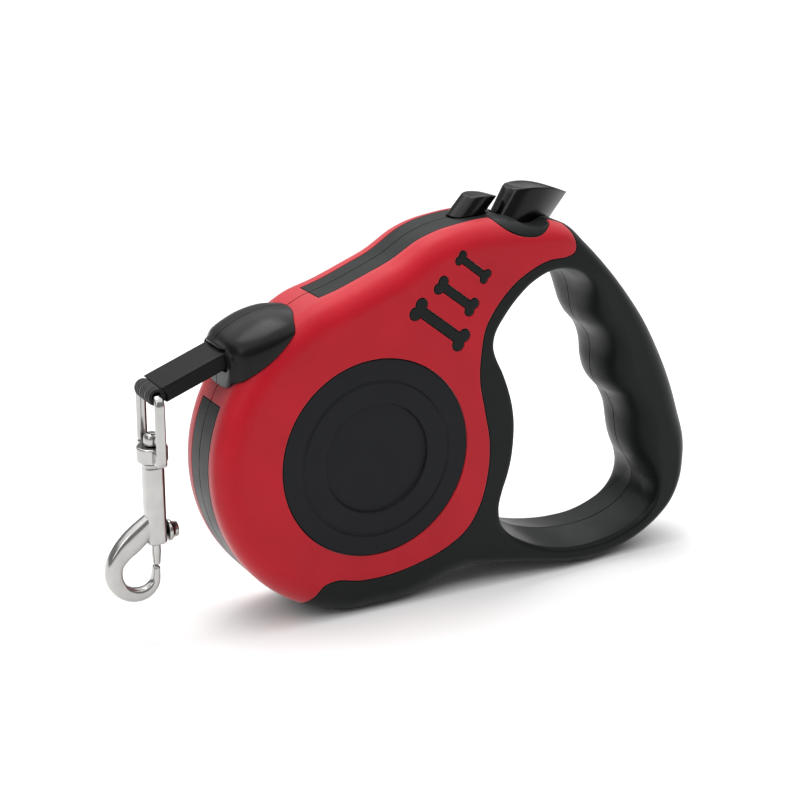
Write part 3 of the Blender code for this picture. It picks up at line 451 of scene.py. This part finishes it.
class Shader:
    """A Principled material and short ways to add nodes to it."""

    def __init__(self, name, colour, roughness, metallic=0.0):
        self.material = bpy.data.materials.new(name)
        self.material.use_nodes = True
        self.nodes = self.material.node_tree.nodes
        self.surface = self.nodes["Principled BSDF"]
        self.colour = (*colour, 1.0)
        self.roughness = roughness
        self.set(self.surface, **{"Base Color": self.colour, "Roughness": roughness, "Metallic": metallic})
        self.place = self.add("ShaderNodeTexCoord").outputs["Object"]

    def add(self, kind, **values):
        node = self.nodes.new(kind)
        self.set(node, **values)
        return node

    def set(self, node, **values):
        for key, value in values.items():
            node.inputs[key].default_value = value

    def join(self, output, target):
        self.material.node_tree.links.new(output, target)

    def noise(self, scale, detail=3.0, place=None):
        node = self.add("ShaderNodeTexNoise", Scale=scale, Detail=detail)
        self.join(place or self.place, node.inputs["Vector"])
        return node.outputs["Fac"]

    def stretched(self, x, y, z):
        """Coordinates squeezed or stretched along the axes."""
        node = self.add("ShaderNodeMapping", Scale=(x, y, z))
        self.join(self.place, node.inputs["Vector"])
        return node.outputs["Vector"]

    def remap(self, value, low, high):
        """Spread a noise's usual values, 0.3 to 0.7, over another range."""
        limits = {"From Min": 0.3, "From Max": 0.7, "To Min": low, "To Max": high}
        node = self.add("ShaderNodeMapRange", **limits)
        self.join(value, node.inputs["Value"])
        return node.outputs["Result"]

    def vary_colour(self, value, change):
        """Multiply the colour by 1 plus or minus a share, following a noise."""
        mix = self.nodes.new("ShaderNodeMix")
        mix.data_type = "RGBA"
        dark = [c * (1 - change) for c in self.colour[:3]]
        light = [c * (1 + change) for c in self.colour[:3]]
        mix.inputs[6].default_value = (*dark, 1.0)
        mix.inputs[7].default_value = (*light, 1.0)
        self.join(self.remap(value, 0.0, 1.0), mix.inputs[0])
        self.join(mix.outputs[2], self.surface.inputs["Base Color"])

    def vary_roughness(self, value, change):
        self.join(self.remap(value, self.roughness - change, self.roughness + change),
                  self.surface.inputs["Roughness"])

    def relief(self, layers, edge=0.0):
        """Stack bumps of (height output, depth in mm, strength), on softened edges if a size is given."""
        normal = None
        if edge:
            soft = self.add("ShaderNodeBevel", Radius=edge * MM)
            soft.samples = 6
            normal = soft.outputs["Normal"]
        for height, depth, strength in layers:
            bump = self.add("ShaderNodeBump", Distance=depth * MM, Strength=strength)
            self.join(height, bump.inputs["Height"])
            if normal:
                self.join(normal, bump.inputs["Normal"])
            normal = bump.outputs["Normal"]
        self.join(normal, self.surface.inputs["Normal"])


def moulded(name, colour, roughness, specular, grain=0.25, edge=0.35, sheen=0.0):
    """Moulded plastic: a fine spark-eroded grain, slow waviness and faint handling marks."""
    made = Shader(name, colour, roughness)
    made.set(made.surface, **{"Specular IOR Level": specular, "Sheen Weight": sheen, "Sheen Roughness": 0.45})
    made.vary_colour(made.noise(55, 4.0), 0.07)
    made.vary_roughness(made.noise(140, 5.0), 0.05)
    made.relief([(made.noise(70, 1.0), 0.05, 0.10), (made.noise(2600, 2.0), 0.03, grain)], edge)
    return made.material


def plated(name, colour, roughness):
    """Nickel plating: fine tumbling marks and slightly uneven polish."""
    made = Shader(name, colour, roughness, 1.0)
    made.vary_colour(made.noise(220, 4.0), 0.06)
    made.vary_roughness(made.noise(400, 5.0), 0.07)
    marks = made.noise(900, 3.0, made.stretched(1.0, 1.0, 0.12))
    made.relief([(made.noise(160, 2.0), 0.05, 0.18), (marks, 0.01, 0.20)], 0.25)
    return made.material


def woven(name, colour, pitch=0.8):
    """Flat nylon webbing: ribs across the tape and strands along it."""
    made = Shader(name, colour, 0.75)
    made.set(made.surface, **{"Sheen Weight": 0.35, "Sheen Roughness": 0.4, "Specular IOR Level": 0.3})
    repeat = math.tau / 20            # length of one wave at scale 1
    ribs = []
    for direction in ("X", "Y"):
        wave = made.add("ShaderNodeTexWave", Scale=repeat / (pitch * MM), Distortion=0.6)
        wave.bands_direction = direction
        made.join(made.place, wave.inputs["Vector"])
        ribs.append(wave.outputs["Fac"])
    made.vary_colour(made.noise(700, 4.0), 0.30)
    made.relief([(ribs[0], 0.12, 0.6), (ribs[1], 0.10, 0.5), (made.noise(2500, 3.0), 0.05, 0.3)])
    return made.material


def paint(target, material):
    """Give an object this one material."""
    target.data.materials.clear()
    target.data.materials.append(material)


CASE = moulded("case_black_plastic", (0.0050, 0.0064, 0.0064), 0.36, 0.13, 0.30, sheen=0.06)
COVER = moulded("cover_red_plastic", (0.405, 0.0040, 0.0135), 0.40, 0.12, 0.22, sheen=0.34)
BADGE = moulded("badge_black_plastic", (0.0070, 0.0075, 0.0092), 0.38, 0.13, 0.16, sheen=0.01)
NOSE = moulded("nose_black_gloss", (0.0025, 0.0025, 0.0030), 0.30, 0.18, 0.40, sheen=0.03)
BUTTON = moulded("button_black_gloss", (0.0020, 0.0020, 0.0025), 0.20, 0.26, 0.08)
SLEEVE = moulded("sleeve_black_rubber", (0.0035, 0.0035, 0.0040), 0.38, 0.12, 0.45, sheen=0.03)
WHITE = moulded("inner_white_plastic", (0.70, 0.69, 0.65), 0.50, 0.45)
WEBBING = woven("black_webbing", (0.008, 0.008, 0.009))
NICKEL = plated("nickel_plating", (0.42, 0.415, 0.405), 0.20)
STEEL = plated("spring_steel", (0.42, 0.42, 0.43), 0.32)

FINISHES = {"case": CASE, "cover": COVER, "badge": BADGE, "gloss": NOSE, "white": WHITE, "steel": STEEL,
            "chrome": NICKEL, "webbing": WEBBING}


def finish_piece(made, body, material, nodes, sharp=35.0):
    """Shade, paint and register a piece that stands for CAD nodes."""
    made.data.shade_smooth()
    made.data.set_sharp_from_angle(angle=math.radians(sharp))
    weigh = made.modifiers.new("even_shading", "WEIGHTED_NORMAL")
    weigh.keep_sharp = True
    paint(made, material)
    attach(made, body)
    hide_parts(*nodes)
    return made


# ---------------------------------------------------------------- casing

def seam(side):
    """Distance from the middle plane at which the half on this side of Y stops."""
    return GAP / 2 + side * PARTING_Y


def edge_ring(edge, inset, base, step, steps):
    """Points round one edge at a step of its rounding; step -1 is the foot of the wall below it."""
    turn = 0.5 * math.pi * max(step, 0) / steps
    points, normals = edge.start((max(step, 0) / steps) ** GROOVE_FADE)
    if step < 0:
        lean, height = 0, np.full(len(points), base)
    else:
        top = half_thickness(points[:, 0]) - inset
        width = np.maximum(edge.width - inset, LEAST_WIDTH)
        depth = np.maximum(np.minimum(edge.radius, top - 1.0) - max(inset, 0) * 0.5, LEAST_DEPTH)
        lean = edge.crown + width * (1 - math.cos(turn))
        height = top - depth * (1 - math.sin(turn))
    place = points + normals * (inset + lean * np.ones(len(points)))[:, None]
    return [(x, y, z) for (x, z), y in zip(place, height)]


def rounded_skin(bm, inset, base, steps):
    """One side of the casing: a wall up from the base, a rounded edge and a flat face."""
    lowest, innermost = [], []
    for edge in EDGES:
        rings = []
        for step in range(-1, steps + 1):
            rings.append([bm.verts.new(place) for place in edge_ring(edge, inset, base, step, steps)])
        for low, high in zip(rings, rings[1:]):
            bridge(bm, low, high)
        lowest.append(rings[0])
        innermost.append(rings[-1])
    fill_between(bm, innermost)
    return lowest


def body_mesh(name, side, inset=0.0, base=0.0, hollow=False, steps=12):
    """Half of the casing's shape, solid or as a shell, on the side of Y given by the sign."""
    bm = bmesh.new()
    outer = rounded_skin(bm, inset, base, steps)
    if hollow:
        inner = rounded_skin(bm, WALL, base, 2)
        for low, high in zip(outer, inner):
            bridge(bm, low, high)
    else:
        fill_between(bm, outer)
    for vert in bm.verts:
        vert.co = Vector((vert.co.x, vert.co.y * side, vert.co.z)) * MM
    return mesh_from(bm, name)


def bone_loop(end_a, end_b, shaft, lobe, offset, extra=0.0, count=18):
    """A bone shape: a bar with two round lobes at each end."""
    a, b = np.array(end_a), np.array(end_b)
    along = (b - a) / np.linalg.norm(b - a)
    across = np.array([-along[1], along[0]])
    half, radius, half_shaft = np.linalg.norm(b - a) / 2, lobe + extra, shaft + extra
    neck = math.sqrt(radius ** 2 - (offset - half_shaft) ** 2)
    notch = math.sqrt(radius ** 2 - offset ** 2)
    first = math.atan2(half_shaft - offset, -neck) % (2 * math.pi)
    last = math.atan2(-offset, notch)
    lobe_arc = [(half + radius * math.cos(t), offset + radius * math.sin(t))
                for t in np.linspace(first, last, count)]
    end = lobe_arc + [(u, -v) for u, v in lobe_arc[::-1][1:]]
    whole = end + [(-u, -v) for u, v in end]
    return [(a + b) / 2 + u * along + v * across for u, v in whole]


def cover_loop(shift):
    """The cover's edge in side view, closed by an arc well outside the casing."""
    edge = spread(smooth_curve(COVER_EDGE), 420)
    outside = arc((0, REEL_Z), 90, 242, 60, 40)
    loop = np.vstack([edge, outside])
    return loop + inward_normals(loop, True) * shift


def band_loop(extra):
    """Plan view of the dark middle band on top, which widens to a collar round the buttons."""
    edge = smooth_curve(TOP_BAND, 6)
    upper = [(x - (extra if k == 0 else 0), y + extra) for k, (x, y) in enumerate(edge)]
    return upper + [(x, -y) for x, y in upper[::-1]]


def cover_zone(side, gap):
    """The space that a cover may fill, shrunk by a gap."""
    ends = sorted((side * (seam(side) + gap / 2), side * 25))
    zone = piece(prism("zone", [cover_loop(gap)], *ends))
    carve(zone, prism("top_band", [band_loop(gap)], *TOP_BAND_HEIGHTS, "Z"))
    front_size = (40, 2 * (BAND_HALF + gap), FRONT_BAND_HEIGHT + 2 * gap)
    return carve(zone, block("front_band", FRONT_BAND_MIDDLE, front_size))


def leaf(front, rear, width, extra=0.0, count=34):
    """Outline of a button between two points of the middle plane: round front, pointed rear."""
    front, rear = Vector(front), Vector(rear)
    along = (rear - front).normalized()
    length = (rear - front).length + 2 * extra
    start = front - along * extra
    half = []
    for k in range(count + 1):
        u = 0.5 * (1 - math.cos(math.pi * k / count))
        if u < BUTTON_BLUNT:
            y = max(0.0, 1 - ((BUTTON_BLUNT - u) / BUTTON_BLUNT) ** BUTTON_POWER) ** (1 / BUTTON_POWER)
        else:
            y = 1 - ((u - BUTTON_BLUNT) / (1 - BUTTON_BLUNT)) ** BUTTON_POINT
        place = start + along * (u * length)
        half.append(Vector((place.x, y * (width / 2 + extra), place.z)))
    return half + [Vector((p.x, -p.y, p.z)) for p in half[-2:0:-1]]


def moved(ring, travel):
    """The ring shifted as a whole."""
    return [Vector(place) + Vector(travel) for place in ring]


def along_y(name, place, low, high, radius, side):
    """A rod along Y at a place (x, z), between two distances from the middle plane."""
    x, z = place
    return rod(name, (x, side * low, z), (x, side * high, z), radius)


def only_mesh(made):
    """The mesh of a helper object, which is removed."""
    mesh = made.data
    bpy.data.objects.remove(made)
    return mesh


def cover_pocket(side):
    """The space that a cover takes from its casing half, with room round it."""
    pocket = cover_zone(side, -GAP / 2)
    carve(pocket, body_mesh("core", side, COVER_DEPTH + GAP, -1.0))
    for bone in BONES:
        carve(pocket, prism("bone", [bone_loop(*bone)], *sorted((side * 5, side * OUTSIDE))))
    return only_mesh(pocket)


def add_boss(shell, place, side):
    """A screw boss; its hole goes through on the far side, which also has the hole for the head."""
    face = half_thickness(place[0])
    carve(shell, along_y("boss", place, seam(side), face - WALL + 0.5, SCREW_BOSS_R, side), "UNION")
    if side > 0:
        carve(shell, along_y("head_hole", place, face - 3.4, OUTSIDE, SCREW_HEAD_R + GAP, side))
    deep = OUTSIDE if side > 0 else face - 3.0
    carve(shell, along_y("screw_hole", place, -1, deep, SCREW_HOLE_R, side))


def open_for_buttons(shell):
    """The dip round the brake, the holes of both buttons and room for the lock's bar."""
    x, z = BRAKE_DIP
    carve(shell, rod("brake_dip", (x, -OUTSIDE, z + DIP_R), (x, OUTSIDE, z + DIP_R), DIP_R, 160))
    outline = leaf(*BRAKE_HOLE, extra=BUTTON_PLAY)
    carve(shell, loft("brake_way", [moved(outline, -PRESS_AXIS * 6), moved(outline, PRESS_AXIS * 8)]))
    carve(shell, block("bar_way", (37, 0, 110.8), (20, 7.2, 4.0), math.radians(3.5)))
    outline = leaf(*LOCK_HOLE, extra=BUTTON_PLAY)
    carve(shell, loft("lock_way", [moved(outline, -LOCK_LEAN * 4), moved(outline, LOCK_LEAN * 6)]))


def build_case(label, side):
    """One casing half: a shell with a pocket for its cover, and openings for tape, buttons and screws."""
    shell = piece(body_mesh(label + "_case_shell", side, base=seam(side), hollow=True))
    carve(shell, cover_pocket(side))
    for place in SCREWS:
        add_boss(shell, place, side)
    carve(shell, tape_block("slot", *SLOT_ENDS, SLOT_WIDTH, SLOT_HEIGHT))
    open_for_buttons(shell)
    finish_piece(shell, "housing", CASE, [label + "_case"])


def build_cover(label, side):
    """The red skin over drum and arm, with its round opening and three bones."""
    skin = piece(body_mesh(label + "_cover_skin", side, base=-1.0))
    carve(skin, only_mesh(cover_zone(side, GAP / 2)), "INTERSECT")
    carve(skin, body_mesh("inside", side, COVER_DEPTH, -2.0))
    edge = BADGE_R + GAP / 2
    low, high = side * 8, side * OUTSIDE
    carve(skin, turned("badge_hole", [(0, low), (edge, low), (edge, high), (0, high)], 160))
    for bone in BONES:
        window = prism("window", [bone_loop(*bone, extra=GAP)], *sorted((side * 5, side * OUTSIDE)))
        carve(skin, window)
    carve(skin, tape_block("slot", *SLOT_ENDS, SLOT_WIDTH, SLOT_HEIGHT))
    finish_piece(skin, "housing", COVER, [label + "_cover"])


def build_badge(label, side):
    """The round black badge: a flange, a raised ring with a fine groove and a sunken middle."""
    back = HALF_THICK - COVER_DEPTH
    top = HALF_THICK - 0.05
    rim = BADGE_R - GAP / 2
    groove = [(24.6, top - 0.1), (24.3, top - 0.35), (23.7, top - 0.35), (23.4, top)]
    middle = [(17.1, top), (16.7, top - 1.1), (0, top - 1.1)]
    profile = [(0, back), (rim, back), (rim, top - 0.1)] + groove + middle
    profile = rounded_profile(profile, 0.22)
    profile = [(radius, height * side) for radius, height in profile]
    badge = piece(turned(label + "_badge_disc", profile, 160))
    finish_piece(badge, "housing", BADGE, [label + "_badge"])


def superellipse(half_y, top, bottom, power, count=120, narrow=0.16):
    """Points (y, up) of a squared oval; the nose is narrower above the tape line."""
    points = []
    for k in range(count):
        turn = 2 * math.pi * k / count
        y, up = [math.copysign(abs(v) ** (2 / power), v) for v in (math.cos(turn), math.sin(turn))]
        points.append((half_y * y * (1 - narrow * max(up, 0)), (top if up > 0 else bottom) * up))
    return points


def build_nose(label, side):
    """Half of the nose that guides the tape, seated on the covers, with a softly rounded mouth."""
    sections = list(smooth_curve(NOSE_SECTIONS, 7))
    front = sections[-1]
    rings = []
    lip = [(0.5, 0.985), (0.95, 0.95), (1.25, 0.90), (1.4, 0.84), (1.45, 0.78)]
    stack = [(section, section[0], 1.0) for section in sections] + [(front, push, size) for push, size in lip]
    for (_, half_y, top, bottom, power), t, size in stack:
        section = superellipse(half_y * size, top * size, bottom * size, power)
        places = [(y, on_tape(t + CHIN * max(-up, 0), up)) for y, up in section]
        rings.append([(x, y, z) for y, (x, z) in places])
    nose = piece(loft(label + "_nose_shell", rings))
    carve(nose, block("half", (-40, side * (10 + seam(side)), 80), (80, 20, 80)), "INTERSECT")
    carve(nose, body_mesh("seat", side, -GAP, -1.0))
    carve(nose, tape_block("slot", -30, 5, SLOT_WIDTH, SLOT_HEIGHT))
    carve(nose, tape_block("mouth", -4, 6, TAPE_WIDTH + 3.6, 6.6, 1.2))
    finish_piece(nose, "housing", NOSE, [label + "_nose"], 40)


def build_screw(number, place):
    """A pan-head screw with a cross recess, sunk in the far casing half."""
    top = half_thickness(place[0]) - SCREW_DEPTH
    head = [(0, top), (1.5, top - 0.05), (SCREW_HEAD_R, top - 0.55), (SCREW_HEAD_R, top - 1.7)]
    profile = head + [(SCREW_R, top - 1.7), (SCREW_R, 2.4 - top), (0, 1.6 - top)]
    centre = (place[0], 0, place[1])
    screw = piece(turned("screw_%d" % number, profile, 40, centre))
    for size in ((2.6, 1.6, 0.55), (0.55, 1.6, 2.6)):
        carve(screw, block("cross", (place[0], top, place[1]), size))
    finish_piece(screw, "housing", STEEL, ["case_screw_%d" % number])


# ---------------------------------------------------------------- buttons

def shrunk(ring, size, drop):
    """A ring scaled towards its middle and lowered."""
    middle = sum(ring, Vector()) / len(ring)
    return [middle + (place - middle) * size + drop for place in ring]


def rising(low, high, shares):
    """Rings between two rings."""
    return [[a.lerp(b, share) for a, b in zip(low, high)] for share in shares]


def bowed(ring, travel):
    """A ring whose middle, as seen from the side, is moved while its ends stay."""
    low, high = min(p.x for p in ring), max(p.x for p in ring)
    return [p + Vector(travel) * math.sin(math.pi * (p.x - low) / (high - low)) for p in ring]


def capped(ring, inward, dish):
    """Rings that close a button's top: a softly rounded rim, then a dished or domed face."""
    rim_steps = ((0.998, 0.3), (0.985, 0.1), (0.962, 0), (0.93, 0.06))
    face_sizes = (0.86, 0.74, 0.6, 0.45, 0.3, 0.15, 0.04)
    rim = [shrunk(ring, size, inward * drop) for size, drop in rim_steps]
    return rim + [shrunk(ring, size, inward * (dish * (1 - size ** 2) + 0.06)) for size in face_sizes]


def build_brake():
    """The brake button, with a dished thumb rest."""
    high = bowed(leaf(*BRAKE_TOP), (0, 0, 1.6))
    low = bowed(leaf(*BRAKE_BASE), (-1.2, 0, -2.3))
    rings = [moved(low, PRESS_AXIS * BUTTON_DEPTH), low]
    rings += rising(low, high, BUTTON_RINGS) + capped(high, PRESS_AXIS, 0.9)
    finish_piece(piece(loft("brake_cap", rings)), "brake", BUTTON, ["brake_button"], 50)


def above_casing(ring, height):
    """The ring laid over the casing's top edge, at a height above it."""
    xs, zs = zip(*sorted(UNDERSIDE_AND_BACK[24:32]))
    return [Vector((p.x, p.y, np.interp(p.x, xs, zs) + height)) for p in ring]


def build_lock():
    """The lock button: a leaning block with a domed top, whose foot slides over the casing."""
    high = bowed(leaf(*LOCK_TOP), (0, 0, 0.6))
    foot = above_casing(leaf(*LOCK_BASE), 0.4)
    stem = leaf(*LOCK_STEM)
    rings = [moved(stem, LOCK_LEAN * BUTTON_DEPTH), above_casing(stem, 0.4), foot]
    rings += rising(foot, high, BUTTON_RINGS) + capped(high, LOCK_LEAN, -0.7)
    finish_piece(piece(loft("lock_cap", rings)), "lock", BUTTON, ["lock_button"], 50)


# ---------------------------------------------------------------- tape end and snap

EYE_HALF = 7.5
EYE_WIRE = 1.15
EYE_FOOT = 54.8
EYE_FLOOR = 59.4
BARREL_TOP = EYE_FOOT - GAP
BARREL_END = 29.4
BARREL_R = 3.05
KNOB_Z = 32.6
ROLL_R = 2.3
ROLL_HALF = 5.9
ROLL_RIBS = 9
SNAP_X, LOOP_Z = on_tape(LOOP_T)
HOOK_LINE = [
    # x from the snap's axis, z, share of the full size
    (-1.0, 36.8, 1.05), (-4.0, 33.8, 1.4), (-7.3, 31.0, 1.5), (-10.7, 28.0, 1.3), (-12.9, 24.6, 1.12),
    (-13.2, 20.3, 1.1), (-11.2, 16.5, 1.0), (-7.4, 14.4, 0.92), (-3.7, 14.6, 0.8), (-1.0, 17.0, 0.62),
    (-0.2, 21.7, 0.45),
]
BARREL_STEPS = [
    # z, share of the full width: a narrower neck runs round below the top
    (BARREL_END, 0.8), (BARREL_END + 0.25, 0.93), (BARREL_END + 0.7, 1.0), (BARREL_TOP - 1.9, 1.0),
    (BARREL_TOP - 1.5, 0.92), (BARREL_TOP - 1.1, 0.92), (BARREL_TOP - 0.9, 1.0),
    (BARREL_TOP - 0.3, 1.0), (BARREL_TOP, 0.9),
]


def build_tape_end():
    """The stiff sleeve, and the roll of ribbed tape that holds the eye."""
    sleeve = piece(tape_block("sleeve_bar", -1.5, SLEEVE_END, TAPE_WIDTH + 2.0, 4.8, 0.55))
    carve(sleeve, rod("roll_seat", (SNAP_X, -12, LOOP_Z), (SNAP_X, 12, LOOP_Z), 2.85))
    finish_piece(sleeve, "tape_end", SLEEVE, ["tape_sleeve"])
    outside = []
    for share in np.linspace(0, 1, ROLL_RIBS * 8 + 1):
        edge = min(1.0, 12 * share, 12 * (1 - share))
        rib = 0.11 * math.cos(2 * math.pi * ROLL_RIBS * share)
        outside.append((ROLL_R + 0.38 * edge ** 0.5 + rib, 2 * ROLL_HALF * share - ROLL_HALF))
    profile = [(1.6, -ROLL_HALF)] + outside + [(1.6, ROLL_HALF), (1.6, -ROLL_HALF)]
    roll = piece(turned("tape_roll", profile, 72, (SNAP_X, 0, LOOP_Z)))
    finish_piece(roll, "tape_end", WEBBING, ["tape_loop"], 50)


def build_eye():
    """The bail in the tape's roll, on a rounded base with a boss for the swivel pin."""
    height = EYE_FLOOR - EYE_FOOT
    middle = (SNAP_X, 0, EYE_FOOT + height / 2)
    eye = piece(block("eye_bail", middle, (3.4, 2 * EYE_HALF + 1.6, height), 0.0, 0.9))
    boss = rounded_profile([(0, EYE_FOOT), (4.6, EYE_FOOT), (4.6, EYE_FLOOR), (0, EYE_FLOOR)], 0.6)
    carve(eye, turned("boss", boss, 64, (SNAP_X, 0, 0), "Z"), "UNION")
    bend = 2.4
    corner = []
    for a in np.linspace(0, math.pi / 2, 14):
        y, z = EYE_HALF - bend + bend * math.cos(a), LOOP_Z - bend + bend * math.sin(a)
        corner.append((SNAP_X, y, z, 1 - 0.14 * a))
    leg = [(SNAP_X, EYE_HALF, EYE_FOOT + 1.5 + k * 2.5, 1.0) for k in range(7)]
    path = leg + corner
    path = path + [(x, -y, z, size) for x, y, z, size in path[::-1]]
    carve(eye, strap("bail", path, EYE_WIRE, 1.5, Vector((1, 0, 0))), "UNION")
    carve(eye, rod("pin_hole", (SNAP_X, 0, 50), (SNAP_X, 0, 64), 1.6))
    finish_piece(eye, "eye", NICKEL, ["swivel_eye"], 40)


def build_hook():
    """Barrel and hook in one casting, bored for the bolt and slotted for its knob."""
    rings = []
    for z, size in BARREL_STEPS:
        section = superellipse(BARREL_R * size, BARREL_R * size, BARREL_R * size, 3.2, 64, 0)
        rings.append([(SNAP_X + b, a, z) for a, b in section])
    body = piece(loft("snap_hook", rings))
    path = [(SNAP_X + x, 0, z, share) for x, z, share in smooth_curve(HOOK_LINE, 8)]
    carve(body, strap("hook", path, 2.3, 2.1, Vector((0, 1, 0)), 3.0), "UNION")
    carve(body, rod("bore", (SNAP_X, 0, BARREL_END - 4), (SNAP_X, 0, BARREL_TOP - 6), 1.75))
    slot_centre = (SNAP_X + 2.6, 0, KNOB_Z + 2.8)
    carve(body, block("knob_slot", slot_centre, (5.2, 1.9, 9.4), 0.0, 0.6))
    finish_piece(body, "snap", NICKEL, ["hook_body"], 40)


def build_pin():
    """The swivel pin, whose head sits in the eye."""
    pin = [(0, BARREL_TOP + 0.3), (1.2, BARREL_TOP + 0.3), (1.2, EYE_FLOOR + GAP), (2.4, EYE_FLOOR + GAP),
           (2.4, EYE_FLOOR + 2.6), (1.7, EYE_FLOOR + 3.9), (0, EYE_FLOOR + 3.9)]
    head = piece(turned("pin_head", rounded_profile(pin, 0.7), 48, (SNAP_X, 0, 0), "Z"))
    finish_piece(head, "snap", NICKEL, ["swivel_pin"])


def build_bolt():
    """The sliding bolt and its thumb knob."""
    bolt = [(0, KNOB_Z + 3.4), (1.4, KNOB_Z + 3.4), (1.4, 26.6), (1.1, 22.6), (0, 22.6)]
    slide = piece(turned("snap_bolt", rounded_profile(bolt, 0.5), 40, (SNAP_X, 0, 0), "Z"))
    finish_piece(slide, "bolt", NICKEL, ["hook_bolt"])
    knob = [(0, 1.7), (0.7, 1.7), (0.7, 3.4), (3.3, 3.4), (3.3, 4.4), (2.5, 5.2), (2.3, 6.6), (0, 6.7)]
    thumb = piece(turned("snap_knob", rounded_profile(knob, 0.4), 48, (SNAP_X, 0, KNOB_Z), "X"))
    finish_piece(thumb, "bolt", NICKEL, ["bolt_knob"])


def paint_inside():
    """Procedural finishes for the CAD nodes that stay: reel, springs, axle, ferrule and levers."""
    slots = {entry["node"]: entry["material_slot"] for entry in frame["record"]["subparts"]}
    for name, node in frame["nodes"].items():
        if not node.hide_render:
            paint(node, FINISHES[slots[name]])


# ---------------------------------------------------------------- stage, in metres

CAMERA_PLACE = Vector((-0.24749, -0.49742, 0.24618))
CAMERA_TURN = math.radians(-27.905)
CAMERA_HEIGHT = math.radians(18.245)
CAMERA_LENS = 87.57
FLOOR_HALF = 5.0
FLOOR_SHADE = 0.86
SKY_STRENGTH = 0.32
SOFTBOXES = [
    # name, place, point it faces, size, radiance
    ("ceiling", (0.0, 0.9, 2.2), (0, 0.9, 0), (6.0, 6.0), 1.30),
    ("top", (-0.05, 0.12, 0.75), (0.02, 0.0, 0.05), (0.55, 0.45), 4.5),
    ("left", (-0.85, -0.45, 0.55), (0, 0, 0.06), (0.25, 0.6), 2.6),
]


def build_camera():
    """The view from the near side, a little from the front and above."""
    lens = bpy.data.cameras.new("camera")
    lens.lens = CAMERA_LENS
    lens.sensor_width = 36.0
    lens.clip_start = 0.01
    camera = bpy.data.objects.new("camera", lens)
    camera.location = CAMERA_PLACE
    camera.rotation_euler = (math.pi / 2 - CAMERA_HEIGHT, 0.0, CAMERA_TURN)
    bpy.context.scene.collection.objects.link(camera)
    bpy.context.scene.camera = camera


def softbox(name, place, target, size, radiance):
    """A rectangular light that faces a point."""
    lamp = bpy.data.lights.new(name, "AREA")
    lamp.shape = "RECTANGLE"
    lamp.size, lamp.size_y = size
    lamp.energy = radiance * math.pi * size[0] * size[1]
    holder = bpy.data.objects.new(name, lamp)
    holder.location = place
    holder.rotation_euler = (Vector(place) - Vector(target)).to_track_quat("Z", "Y").to_euler()
    bpy.context.scene.collection.objects.link(holder)


def build_stage():
    """A pale floor, a pale sky and soft studio lights."""
    bm = bmesh.new()
    bmesh.ops.create_grid(bm, x_segments=1, y_segments=1, size=FLOOR_HALF)
    floor = piece(mesh_from(bm, "floor"))
    paper = Shader("floor_paper", (FLOOR_SHADE,) * 3, 0.9)
    paper.set(paper.surface, **{"Specular IOR Level": 0.1})
    paper.vary_colour(paper.noise(30, 3.0), 0.005)
    paint(floor, paper.material)
    world = bpy.data.worlds.new("studio")
    world.use_nodes = True
    sky = world.node_tree.nodes["Background"]
    sky.inputs["Color"].default_value = (1, 1, 1, 1)
    sky.inputs["Strength"].default_value = SKY_STRENGTH
    bpy.context.scene.world = world
    for values in SOFTBOXES:
        softbox(*values)
    bpy.context.scene.view_settings.view_transform = "Standard"


build_camera()
for label, side in (("left", -1), ("right", 1)):
    build_case(label, side)
    build_cover(label, side)
    build_badge(label, side)
    build_nose(label, side)
for number, place in enumerate(SCREWS, 1):
    build_screw(number, place)
build_brake()
build_lock()
build_tape_end()
build_eye()
build_hook()
build_pin()
build_bolt()
paint_inside()
build_stage()
